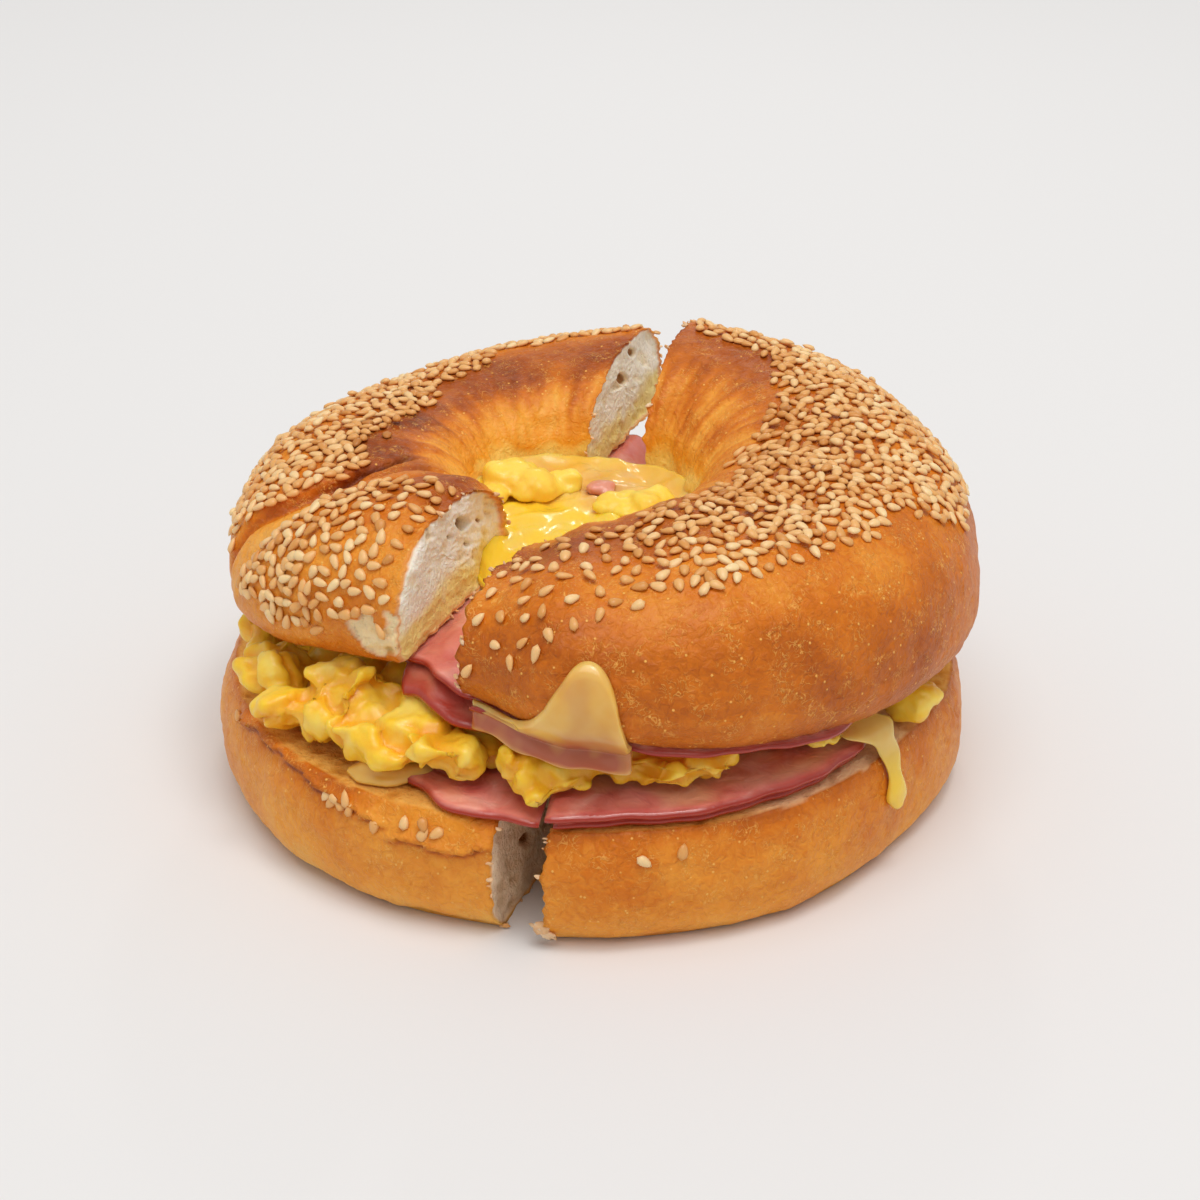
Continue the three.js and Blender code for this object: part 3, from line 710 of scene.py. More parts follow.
def toast_and_soak(name, a, t, skin, height, sliced, torn):
    """How far a half's bread is toasted, and how far cheese and yolk soak it. The golden tint up the
    hole's wall is partly painted light, bounced from the yellow pool.
    """
    if name.startswith("crown"):
        above_pool = skin[..., 2] - POOL_LEVEL + 1.6 * rough(skin, 6, 13.0) + 0.8 * rough(skin, 2, 3.0)
        # The golden tint up the hole's wall is partly painted light, bounced from the yellow pool; nearest
        # the pool it is cheese
        coat_and_bounce = 0.45 * smooth(1.1 - above_pool / 9) + 0.5 * smooth(1.5 - above_pool / 3.6)
        return 0.25 * torn, np.maximum(0.45 * sliced, hole_wall(t) * coat_and_bounce)
    toast_and_bounce = np.ones_like(a)
    if name == "heel_right":
        toast_and_bounce = 1 - 0.3 * smooth((a + 88) / 12) * smooth((-25 - a) / 12)
    soak = 0.45 * smooth((3.5 - height) / 4) * smooth(0.5 + rough(skin, 8, 2.0))
    return toast_and_bounce, soak * smooth((a - 225) / 12)


def cut_crumb(name, end, ring, outward, rings, edge_bake):
    """The crumb of a cut, from its edge in to its middle: its points and their marks."""
    half = HALVES[name]
    crown = name.startswith("crown")
    hub = ring.mean(axis=0)
    ragged = (ring - hub) @ outward
    plane = ring - outward * ragged[:, None]
    shares = 1 - np.linspace(0, 1, rings + 1)[1:-1]
    depth = (1 - shares)[:, None] * np.linalg.norm(plane - hub, axis=-1)[None]
    inside = hub + (plane - hub) * shares[:, None, None]
    inside = inside + outward * (ragged[None] * np.exp(-depth / 0.7))[..., None]
    soft = smooth((depth - 0.3) / 0.5)
    # Pores are drawn out along the dough, which leans as it was rolled
    away = np.hypot(inside[..., 0] - half["middle"][0], inside[..., 1] - half["middle"][1])
    lean = PORE_LEAN if end else -PORE_LEAN
    on_cut = np.stack([away * 0.5, inside[..., 2] - lean * away, 0.3 * depth], axis=-1)
    medium, small = pores(on_cut, 2.3, 0.5, 4.0), pores(on_cut, 1.2, 0.9, 2.0)
    dip = 0.15 + 0.42 * medium + 0.18 * small - 0.4 * rough(inside, 6, 8.0)
    # Pores are painted darker by their depth: painted shade
    shade = np.clip(0.7 * medium + 0.3 * small, 0, 0.75)
    for which, r, z, radius, deep in LARGE_PORES[name]:
        if which == end:
            askew = inside[..., 2] - z - lean * (away - r)
            from_pore = np.hypot((away - r) / 2.3, askew) * (1 + 0.1 * rough(inside, 2))
            hole = smooth((radius - from_pore) / 0.55)
            dip += deep * hole
            # Each large pore is painted dark inside: painted shade
            shade = np.maximum(shade, hole)
    inside = inside - outward * (soft * dip)[..., None]
    low = inside[..., 2] - (half["floor"](inside[..., 0], inside[..., 1]) if crown else 0)
    soaked = smooth((8 - low + 2.5 * rough(inside, 5, 1.0)) / 4) * soft if crown else 0 * soft
    marks = {
        "bake_and_shade": np.append(np.broadcast_to(edge_bake, depth.shape).ravel(), 0.3),
        "crumb": np.append(soft.ravel(), 1),
        "soak": np.append(soaked.ravel() * 0.85, 0),
        # The heel's cut crumb is tinted toward the toasted colour: painted warm bounce light
        "toast_and_bounce": np.full(depth.size + 1, 0.0 if crown else 0.4),
        "pore_shade": np.append(shade.ravel(), 0.3),
    }
    return np.concatenate([inside.reshape(-1, 3), (hub - outward * 0.6)[None]]), marks


def cut_faces(end, sides, rings, edge, count):
    """Faces of a cut's crumb: rings of quads from the half's own edge, and a fan in the middle."""
    order = np.concatenate([np.arange(edge, edge + sides), count + np.arange((rings - 1) * sides)])
    quads = order[grid_quads(rings, sides, wrap=True)]
    last = count + (rings - 2) * sides + np.arange(sides)
    centre = count + (rings - 1) * sides
    fan = np.stack([last, np.full(sides, centre), np.roll(last, -1)], axis=-1)
    return (quads, fan) if end else (quads[:, ::-1], fan[:, ::-1])


def flake(shape, at, outward, size, rng):
    """A flake of torn crust or crumb on the edge of a cut."""
    heading = unit(rng.normal(size=3) + outward)
    side = unit(np.cross(heading, rng.normal(size=3)))
    swell = 1 + 0.35 * rough(shape, 0.8, rng.uniform(0, 50))
    made = (shape * swell[:, None] * size) @ np.stack([heading, side, np.cross(heading, side)])
    made += at + outward * 0.3 * size[0]
    made[:, 2] = np.maximum(made[:, 2], 0.02)
    return made


def bread_half(name, material, rng):
    """One half of the bagel: wrinkled crust, a torn edge round each cut, and porous crumb inside."""
    half = HALVES[name]
    kind = name.split("_")[0]
    steps, sides, rings = MESH[kind]
    point = crown_point if kind == "crown" else heel_point
    turns = even_turns(half, point, sides)
    azimuths = np.linspace(half["from"], half["to"], steps + 1)
    a, t = np.meshgrid(azimuths, turns, indexing="ij")
    skin, height = point(half, a, t)
    way_on = np.gradient(skin, axis=0)
    way_round = np.roll(skin, -1, axis=1) - np.roll(skin, 1, axis=1)
    normal = unit(np.cross(way_on, way_round))

    sliced = smooth((0.3 * rough(skin, 2.6) - height) / 0.5)
    crust, streaks, lines_and_shade = crust_relief(name, a, t, skin)
    torn = torn_patches(name, point, skin)
    crust -= torn * (0.55 + 0.35 * rough(skin, 1.3, 2.0))
    pits = pores(skin, 2.4, 0.55)
    skin = skin + normal * (crust * (1 - sliced) - 0.5 * pits * sliced)[..., None]
    sliced = np.maximum(sliced, torn)

    # The cuts are torn a little in and out
    forward = np.array([-CUT_WAY[0], -CUT_WAY[1], 0.0])
    ends = []
    for end in (0, -1):
        ring = skin[end]
        outward = unit(way_on[end]).mean(axis=0) * (1 if end else -1)
        outward = forward * np.sign(outward @ forward)
        tear = 0.45 * rough(ring, 3.2, 5.0) + 0.4 * rough(ring, 1.1, 9.0)
        from_end = np.linalg.norm(skin - ring[None], axis=-1)
        skin = skin + outward * (tear[None] * np.exp(-((from_end / 1.3) ** 2)))[..., None]
        ends.append(outward)

    # The crust's baking, with the painted shade of the fold's crease and the wrinkles' feet added
    bake_and_shade = along(BAKE[name], t) + lines_and_shade + 0.28 * streaks + 0.14 * np.exp(-((height / 1.5) ** 2))
    toast_and_bounce, soak = toast_and_soak(name, a, t, skin, height, sliced, torn)
    marks = {
        "bake_and_shade": [bake_and_shade.ravel()],
        "crumb": [sliced.ravel()],
        "soak": [soak.ravel()],
        "toast_and_bounce": [toast_and_bounce.ravel()],
        # Pits in the sliced crust are painted darker: painted shade
        "pore_shade": [pits.ravel()],
    }
    points = [skin.reshape(-1, 3)]
    faces = [grid_quads(steps + 1, sides, wrap=True)]
    count = len(points[0])
    shape, shape_faces = ball(10, 6)
    for end, outward in zip((0, -1), ends):
        ring = skin[end]
        crumb, crumb_marks = cut_crumb(name, end, ring, outward, rings, bake_and_shade[end])
        points.append(crumb)
        faces += cut_faces(end, sides, rings, steps * sides if end else 0, count)
        for mark, values in crumb_marks.items():
            marks[mark].append(values)
        count += len(crumb)
        for k in range(FLAKES):
            j = rng.integers(sides)
            size = rng.uniform(0.25, 0.75) * np.array([1, 0.5, 0.3])
            if name == "heel_right" and end == 0 and k < FOOT_CRUMB["flakes"]:
                j = int(sides * FOOT_CRUMB["at"]) + k
                size = np.array(FOOT_CRUMB["size"]) - [k * FOOT_CRUMB["shorter"], 0, 0]
            points.append(flake(shape, ring[j], outward, size, rng))
            faces.append([[count + i for i in f] for f in shape_faces])
            values = {"bake_and_shade": 0.4, "crumb": rng.uniform(0.2, 0.9), "soak": 0.1, "toast_and_bounce": 0.4, "pore_shade": 0.1}
            for mark, value in values.items():
                marks[mark].append(np.full(len(shape), value))
            count += len(shape)
    marks = {mark: np.concatenate(values) for mark, values in marks.items()}
    all_faces = [list(f) for block in faces for f in block]
    return make_piece("bread_" + name, np.concatenate(points), all_faces, material, [name], marks)


# Seeds

# Where seeds lie on a crown half: lowest and highest turn by azimuth, and how crowded they are
SOWN = {
    "crown_left": {
        "low": [[69, 20], [190, 14], [208, 6], [216, -8], [245, -6]],
        "high": [[69, 84], [98, 88], [112, 98], [133, 106], [151, 115], [190, 112], [210, 110], [245, 108]],
        "crowd": [[69, 1], [200, 1], [215, 1], [236, 0.72], [245, 0.5]],
    },
    "crown_right": {
        "low": [
            [-112, 4], [-107, 14], [-101, 16], [-95, 50], [-80, 60], [-51, 62],
            [-37, 62], [-21, 32], [0, 22], [20, 12], [69, 8],
        ],
        "high": [[-112, 104], [-97, 109], [-76, 118], [-31, 131], [-5, 127], [30, 109], [56, 97], [69, 95]],
        "crowd": [[-112, 0.3], [-96, 0.42], [-80, 0.8], [-60, 1], [69, 1]],
    },
}
# Single seeds on the heel halves: azimuth, turn
STRAYS = {
    "heel_left": [
        [198, 27], [223.6, 26], [224.5, 23], [225.4, 27], [226.4, 25], [227.4, 28],
        [228.2, 26], [232.4, 20], [236.7, 26], [239.3, 26.6], [239.5, 22], [241.4, 23.6],
    ],
    "heel_right": [[-98.4, 19], [-93.3, 22.6]],
}


def seed_shape():
    """One seed of length, width and height 1: a drop, blunt at one end and flatter underneath."""
    sides, rows = 8, 5
    points = [(-0.5, 0, 0)]
    for k in range(1, rows):
        u = k / rows
        wide = 0.5 * math.sqrt(1 - (2 * u - 1) ** 2) * (1 - 0.34 * (2 * u - 1))
        for j in range(sides):
            a = 2 * math.pi * j / sides
            thick = wide * math.sin(a) * (1 if math.sin(a) > 0 else 0.7)
            points.append((u - 0.5, wide * math.cos(a), thick))
    points.append((0.5, 0, 0))
    faces = []
    for j in range(sides):
        nxt = (j + 1) % sides
        faces.append((0, 1 + nxt, 1 + j))
        for k in range(rows - 2):
            a = 1 + k * sides
            faces.append((a + j, a + nxt, a + sides + nxt))
            faces.append((a + j, a + sides + nxt, a + sides + j))
        a = 1 + (rows - 2) * sides
        faces.append((a + j, a + nxt, len(points) - 1))
    return np.array(points), np.array(faces)


def seeds_on(name, places, bread, material, look, rng):
    """Lays a seed at each place (azimuth, turn) of a bread half, flat on its crust."""
    half = HALVES[name]
    point = crown_point if name.startswith("crown") else heel_point
    surface = BVHTree.FromPolygons(
        [v.co.copy() for v in bread.data.vertices], [p.vertices[:] for p in bread.data.polygons]
    )
    shape, shape_faces = seed_shape()
    size = np.array([look.seed_length, look.seed_width, look.seed_height]) / MM
    points, faces, tones = [], [], []
    for azimuth, turn in places:
        at, _ = point(half, np.array(azimuth), np.array(turn))
        on, _ = point(half, np.array(azimuth + 0.5), np.array(turn))
        around, _ = point(half, np.array(azimuth), np.array(turn + 1.5))
        up = unit(np.cross(on - at, around - at))
        hit = surface.find_nearest(Vector(((at + SHIFT) * MM).tolist()))
        at = np.array(hit[0]) / MM - SHIFT
        heading = rng.uniform(0, 2 * math.pi)
        flat = unit(on - at - up * ((on - at) @ up))
        side = np.cross(up, flat)
        x = flat * math.cos(heading) + side * math.sin(heading)
        up = unit(up + 0.14 * rng.normal(size=3))
        x = unit(x - up * (x @ up))
        y = np.cross(up, x)
        grown = size * rng.uniform(0.84, 1.12, size=3)
        lift = 0.3 * grown[2] + (0.55 if rng.random() < 0.05 else 0)
        placed = at + up * lift + (shape * grown) @ np.stack([x, y, up])
        faces.append(shape_faces + len(points) * len(shape))
        points.append(placed)
        toasted = 0.2 * min(1, max(0, turn - 80) / 30) if name.startswith("crown") else 0
        tones.append(np.full(len(shape), rng.beta(2.2, 2.6) * 0.8 + toasted))
    return make_piece(
        "sesame_" + name,
        np.concatenate(points),
        np.concatenate(faces).tolist(),
        material,
        (),
        {"tone": np.concatenate(tones)},
    )


def sow(name, rng, closest=1.5, farthest=4.8, tries=34000):
    """Places for a crown half's seeds: crowded in the middle of its sown band, thinner at its edges."""
    half = HALVES[name]
    sown = SOWN[name]
    azimuths = rng.uniform(half["from"] + 1.6, half["to"] - 1.6, tries)
    turns = rng.uniform(-10, 134, tries)
    at, _ = crown_point(half, azimuths, turns)
    low, high = along(sown["low"], azimuths), along(sown["high"], azimuths)
    patch = rough(at, 9, 2.0)
    inside = np.minimum(turns - low, high - turns) / 7 + 0.9 * patch
    if name == "crown_left":
        above, below = along(FOLD["above"], turns), along(FOLD["below"], turns)
        inside = np.minimum(inside, np.maximum(above + 0.5 - azimuths, azimuths - below) / 1.2)
    crowd = along(sown["crowd"], azimuths) * smooth((inside + 0.2) / 1.3) + 0.12 * patch
    placed = np.zeros((0, 3))
    places = []
    for i in range(tries):
        if inside[i] < 0 or high[i] - low[i] < 14:
            continue
        apart = closest + (farthest - closest) * (1 - min(1.0, max(0.0, crowd[i]))) ** 1.6
        if len(placed) and np.min(np.sum((placed - at[i]) ** 2, axis=1)) < apart**2:
            continue
        placed = np.vstack([placed, at[i]])
        places.append((azimuths[i], turns[i]))
    return places


# Ham


def upper_ham(x, y):
    """Middle of the ham under the crown."""
    return lid(x, y) - 0.4 - HAM / 2


LAYER = HAM + GAP
LOWEST = HEEL_HEIGHT + GAP + HAM / 2


def hanging_ham(x, y):
    """Middle of the slice that hangs under the upper ham at the left of the cut."""
    return upper_ham(x, y) - LAYER - 0.2 - 1.9 * smooth((np.hypot(x, y) - 43) / 6)


# Ham slices, by azimuth round the origin. "reach" is how far round the rim goes past the span
SLICES = {
    "ham_low_left": {
        "span": (78, 262),
        "rim": [[78, 42], [228, 42], [240, 54], [250, 58], [262, 59.5]],
        "height": lambda x, y: LOWEST + 0 * x,
        "ripple": 0.12,
    },
    "ham_low_right_under": {
        "span": (-96, 60),
        "rim": [[-96, 58.6], [-72, 57.8], [-45, 54.8], [-33, 45.5], [60, 45]],
        "height": lambda x, y: LOWEST + 0 * x,
        "ripple": 0.0,
    },
    "ham_low_right": {
        "span": (-97, 62),
        "rim": [[-97, 60], [-72, 59], [-45, 56], [-33, 46], [62, 46]],
        "height": lambda x, y: LOWEST + LAYER + 0 * x,
        "ripple": 0.12,
        "coated": 1.15,
    },
    "ham_top_left": {
        "span": (64, 260),
        "rim": [[64, 45], [84, 46], [110, 39], [222, 39], [231, 43.5], [244, 47.6], [260, 47.6]],
        "height": upper_ham,
        "ripple": -0.15,
    },
    "ham_top_left_under": {
        "span": (205, 257),
        "rim": [[205, 37], [226, 41], [234, 47.5], [244, 50], [257, 50]],
        "height": hanging_ham,
        "ripple": -0.12,
        # The slice that hangs in shade is painted darker toward the rind colour: painted shade
        "painted_shade": 0.78,
    },
    "ham_top_right": {
        "span": (-98, 59),
        "reach": -111,
        "rim": [[-111, 51], [-97, 55], [-72, 57.5], [-52, 57.5], [-36, 50], [59, 50]],
        "height": upper_ham,
        "ripple": -0.12,
    },
}


def ham_slice(name, material):
    """A ham slice with a rounded, darker edge. Its rim ripples as the real one does."""
    cut = SLICES[name]
    start, end = cut["span"]
    steps, rows = round(end - start), 20
    u, v = np.meshgrid(np.linspace(0, 1, rows + 1) ** 0.7, np.linspace(0, 1, steps + 1), indexing="ij")
    begin = start + (cut.get("reach", start) - start) * smooth((u - 0.75) * 4)
    a = begin + (end - begin) * v
    outer = along(cut["rim"], a) + 0.4 * np.sin(a * 0.31) + 0.15 * np.sin(a * 0.9)
    inner = to_circle((0, 0), HOLE_AT, HOLE - 4, a)
    r = inner + (outer - inner) * u**0.6
    x, y = r * np.cos(np.radians(a)), r * np.sin(np.radians(a))
    wave = cut["ripple"] * u**3 * (1 + np.sin(a * 0.29 + outer))
    middle = np.stack([x, y, cut["height"](x, y) + wave], axis=-1)
    from_edge = np.minimum(outer - r, np.minimum(v, 1 - v) * np.radians(end - start) * r)
    thick = HAM / 2 * np.sqrt(1 - np.clip(1 - from_edge / 0.55, 0, 0.9) ** 2)
    lifted = np.stack([0 * thick, 0 * thick, thick], axis=-1)
    points, faces = sheet(middle + lifted, middle - lifted)
    # The rind mark also carries the painted shade of the slice that hangs in shade
    rind = np.maximum(smooth((0.75 - (outer - r) + 0.25 * rough(middle, 4)) / 0.4), cut.get("painted_shade", 0.0))
    film = smooth(cut.get("coated", 0.5) + 1.4 * rough(middle, 8, 5.0)) * smooth((outer - r - 1) / 2)
    film *= 0.8 if "coated" in cut else 0.25
    marks = {"rind": np.concatenate([rind.ravel()] * 2), "film": np.concatenate([film.ravel()] * 2)}
    return make_piece("sliced_" + name, points, faces, material, [name], marks)


# Egg

# Heaps of scrambled egg, under each crown half. A lump is its middle and its half sizes
HEAPS = {
    "egg_left": {
        "span": (74, 256),
        "rim": [[74, 46], [110, 48], [180, 48.5], [215, 48], [235, 48.5], [256, 48.5]],
        "floor": LOWEST + HAM / 2 + 0.8,
        "ceiling": lambda x, y: hanging_ham(x, y) - HAM / 2 - 0.8,
        "past": (44, 70, 226),
        "lumps": [
            [(-49, -21, 25.2), (6.5, 5, 4.6)],
            [(-46, -30, 23.6), (6, 5.4, 3.6)],
            [(-40.5, -34, 25.2), (4.4, 4.2, 5)],
            [(-37, -31, 27.8), (6, 4.6, 4.6)],
            [(-29.6, -37.5, 28.6), (5, 4.6, 4.8)],
            [(-34, -40, 25), (6, 4.4, 4.6)],
            [(-29, -43.5, 23.8), (5.6, 4.6, 3.4)],
            [(-22.8, -46.5, 27.5), (5.2, 4.8, 6)],
            [(-19.4, -47.5, 24.6), (3.6, 4, 4.2)],
            [(-33, -36.5, 29.6), (4.6, 4.2, 3.2)],
            [(-26, -41.5, 27.6), (4.2, 3.8, 3.6)],
            [(-51.5, -4, 24.9), (4.6, 7.5, 4.4)],
            [(-50, 13, 24.6), (5, 7, 4.4)],
            [(-42, 30, 24.9), (6, 6.4, 4.6)],
            [(-28, 42, 25.6), (7, 5, 5)],
            [(-10, 49, 25.6), (8, 4.6, 5)],
        ],
    },
    "egg_right": {
        "span": (-103, 63),
        "rim": [[-103, 50.5], [-60, 50], [-30, 50.5], [30, 49], [63, 46]],
        "floor": LOWEST + LAYER + HAM / 2 + 0.8,
        "ceiling": lambda x, y: upper_ham(x, y) - HAM / 2 - 0.8,
        "past": (48, -33, 70),
        "lumps": [
            [(-10.4, -51.5, 25), (3.8, 4.8, 4.4)],
            [(-4.5, -52.5, 24.6), (5.4, 5, 4)],
            [(-8, -54.5, 22.9), (3.6, 4.4, 2.8)],
            [(3.4, -50, 25.6), (4.6, 4.2, 2.6)],
            [(10.5, -51.5, 24.8), (6, 4.8, 3)],
            [(16, -50.5, 26), (5, 4.4, 2.6)],
            [(31.5, -41, 25.2), (5, 4, 2.4)],
            [(48.4, -26.2, 22.8), (4.6, 4.4, 3.2)],
            [(51.4, -6, 23.8), (3.8, 6.4, 2.4)],
            [(50, 14, 24), (4.2, 6.4, 2.6)],
            [(38, 34, 24.4), (6.4, 6, 3)],
        ],
    },
}
# Bits of egg and ham that lie on the cheese in the hole
ON_POOL = {
    "egg_hole_left": [
        [(-14.5, 13, 42.6), (4.6, 4.2, 3.2)],
        [(-9.5, 10, 42.2), (4.8, 3.4, 2.6)],
        [(-5.6, 12.6, 41.8), (3.4, 2.6, 2)],
        [(-16.5, 9.5, 41.8), (2.6, 3, 2)],
    ],
    "egg_hole_right": [
        [(3.5, 4.6, 41.8), (4.4, 3, 1.8)],
        [(8.6, 3.6, 42.2), (4.2, 3.4, 2.2)],
        [(6, 1.8, 41.6), (3, 2, 1.4)],
    ],
    "ham_hole": [[(0.6, 11.4, 41.6), (2.6, 2, 1.1)]],
}


# Relief of the egg: height of its folds and of its fine crinkles, size of a lump, and depth of
# the gaps between lumps
CURD_FOLD = 0.45
CURD_CRINKLE = 0.22
CURD = 10.5
CURD_GAP = 1.5


def clefts(points, size, shift=0.0):
    """1 in the narrow gaps between lumps size mm across, 0 on the lumps."""
    bent = points + 1.3 * np.stack([rough(points, 4, k) for k in (1.0, 5.0, 9.0)], axis=-1)
    near = [noise.voronoi(p)[0] for p in (bent / size + shift).tolist()]
    return np.exp(-((np.array([(d[1] - d[0]) / 0.17 for d in near])) ** 2))


def ball(sides=20, rows=12):
    """A unit ball as points and faces."""
    points = [(0, 0, 1)]
    for k in range(1, rows):
        tilt = math.pi * k / rows
        for j in range(sides):
            a = 2 * math.pi * j / sides
            points.append((math.sin(tilt) * math.cos(a), math.sin(tilt) * math.sin(a), math.cos(tilt)))
    points.append((0, 0, -1))
    faces = [(0, 1 + j, 1 + (j + 1) % sides) for j in range(sides)]
    for k in range(rows - 2):
        a = 1 + k * sides
        for j in range(sides):
            nxt = (j + 1) % sides
            faces.append((a + j, a + sides + j, a + sides + nxt, a + nxt))
    a = 1 + (rows - 2) * sides
    last = len(points) - 1
    faces += [(a + j, last, a + (j + 1) % sides) for j in range(sides)]
    return np.array(points), faces


def past_ham(heap, x, y):
    """Where the egg lies on the bread, past the ham's rim."""
    radius, start, end = heap["past"]
    azimuth = np.degrees(np.arctan2(y, x))
    turned = np.where(azimuth < start, azimuth + 360, azimuth)
    return (np.hypot(x, y) > radius) & (turned < end)


def curds(name, lumps, floor, ceiling, material, slot, rng, core=None, voxel=0.5):
    """Lumps of egg, each with smaller curds stuck to it, run together and creased."""
    shape, shape_faces = ball()
    points, faces = [], []

    def put(made, made_faces):
        base = sum(len(p) for p in points)
        points.append(made)
        faces.extend([[base + i for i in f] for f in made_faces])

    for at, half in lumps:
        at, half = np.array(at, dtype=float), np.array(half, dtype=float)
        seeds = [(at, half * 0.95)]
        for _ in range(2):
            way = unit(rng.normal(size=3) * np.array([1, 1, 0.8]))
            small = half * rng.uniform(0.5, 0.7)
            seeds.append((at + way * (half - small * 0.55) * rng.uniform(0.85, 1.05), small))
        for centre, size in seeds:
            shift = rng.uniform(0, 50)
            swell = 1 + 0.24 * rough(shape, 1.1, shift) + 0.05 * rough(shape, 0.5, shift)
            made = centre + shape * swell[:, None] * size
            made[:, 2] = np.clip(made[:, 2], floor(made[:, 0], made[:, 1]), ceiling(made[:, 0], made[:, 1]))
            put(made, shape_faces)
    if core is not None:
        put(*core)
    mesh = bpy.data.meshes.new(name + "_lumps")
    mesh.from_pydata(((np.concatenate(points) + SHIFT) * MM).tolist(), [], faces)
    source = bpy.data.objects.new(name + "_lumps", mesh)
    bpy.context.scene.collection.objects.link(source)
    remesh = source.modifiers.new("run_together", "REMESH")
    remesh.mode = "VOXEL"
    remesh.voxel_size = voxel * MM
    even = source.modifiers.new("soften", "SMOOTH")
    even.factor = 0.5
    even.iterations = 4
    graph = bpy.context.evaluated_depsgraph_get()
    made = source.evaluated_get(graph).to_mesh()
    count = len(made.vertices)
    flat = np.empty(count * 3, dtype=np.float32)
    made.vertices.foreach_get("co", flat)
    place = flat.reshape(-1, 3).astype(float) / MM - SHIFT
    made.vertices.foreach_get("normal", flat)
    normal = flat.reshape(-1, 3).astype(float)
    made_faces = [p.vertices[:] for p in made.polygons]
    source.evaluated_get(graph).to_mesh_clear()
    bpy.data.objects.remove(source)
    bpy.data.meshes.remove(mesh)
    crinkle = CURD_CRINKLE * np.abs(rough(place, 1.7, 5.0))
    relief = CURD_FOLD * np.abs(rough(place, 4.0, 3.0)) + crinkle - 0.1
    if core is None:
        # The bits in the hole are half melted into the cheese, and smoother. Their paler tint is partly
        # melting and partly painted light: they lie in the open, and the heaps lie in the crowns' shade
        relief, cleft_and_shade, melt_and_light = relief * 0.6, np.zeros(len(place)), 0.5
    else:
        cleft_and_shade, melt_and_light = clefts(place, CURD), 0.0
        relief -= CURD_GAP * cleft_and_shade
    place = place + normal * relief[:, None]
    # The gap mark also paints the gaps a deeper yellow: painted shade
    marks = {"film" if slot == "ham" else "melt_and_light": np.full(len(place), melt_and_light), "cleft_and_shade": 0.45 * cleft_and_shade}
    return make_piece(name + "_curds", place, made_faces, material, [name], marks)


def heap_core(heap):
    """The bare body of a heap of egg, between the ham below and the lid."""
    start, end = heap["span"]
    azimuths = np.linspace(start, end, 60)
    section = np.array([(1, 0.5), (0.92, 0.9), (0.6, 1), (0, 1), (0, 0), (0.6, 0), (0.94, 0)])
    a = azimuths[:, None]
    inner = to_circle((0, 0), HOLE_AT, HOLE - 3, a)
    outer = along(heap["rim"], a) + 1.2 * np.sin(a * 0.41) + 0.8 * np.sin(a * 0.93)
    r = inner + (outer - inner) * section[None, :, 0]
    x, y = r * np.cos(np.radians(a)), r * np.sin(np.radians(a))
    z = heap["floor"] + (heap["ceiling"](x, y) - heap["floor"]) * section[None, :, 1]
    points = np.stack([x, y, z], axis=-1).reshape(-1, 3)
    return points, tube_faces(len(azimuths), len(section))


# Cheese

# The flap of cheese on the right crown: its upper edge is azimuth by turn
FLAP = {
    "span": (-110.5, -87.5),
    "crest": [
        (-110.5, -36), (-107, -35.5), (-103.5, -31), (-100.6, -17), (-98.4, -1), (-96.4, 12), (-94.6, 23),
        (-92.9, 26.5), (-91.2, 23), (-89.8, 12), (-88.7, -10), (-88, -28), (-87.5, -36),
    ],
    "tuck": -38,
    "drop": 3.2,
}
RUN = {
    "azimuth": -52.5,
    "shelf": [(34.5, -33.5, 25), (38.5, -35.8, 24.2), (42, -37.2, 23)],
    "turns": [36, 26, 16, 8, 2],
    "width": [[0, 11], [0.3, 9.5], [0.5, 4.6], [0.72, 2.8], [0.9, 3.8], [1, 1.8]],
}
DROP = {"at": (-30.6, -42.9, 20.0), "half": (6.2, 3.5, 1.9)}
# How far the cheese climbs the wall of the hole, by azimuth
CLIMB = [
    [0, 1.2], [35, 1.6], [62, 0.6], [85, 0.6], [130, 1.8],
    [175, 1.6], [205, 0.8], [225, 0], [285, 0], [360, 1.2],
]


def curve_through(points, count):
    """Evenly spaced points on a smooth curve through the given ones."""
    p = np.asarray(points, dtype=float)
    padded = np.concatenate([2 * p[:1] - p[1:2], p, 2 * p[-1:] - p[-2:-1]])
    fine = []
    for i in range(len(p) - 1):
        a, b, c, d = padded[i : i + 4]
        t = np.linspace(0, 1, 30, endpoint=False)[:, None]
        square = (2 * a - 5 * b + 4 * c - d) * t**2
        cube = (3 * b - a - 3 * c + d) * t**3
        fine.append(0.5 * (2 * b + (c - a) * t + square + cube))
    fine = np.concatenate([*fine, p[-1:]])
    length = np.concatenate([[0], np.cumsum(np.linalg.norm(np.diff(fine, axis=0), axis=1))])
    at = np.linspace(0, length[-1], count)
    return np.stack([np.interp(at, length, fine[:, k]) for k in range(3)], axis=-1)


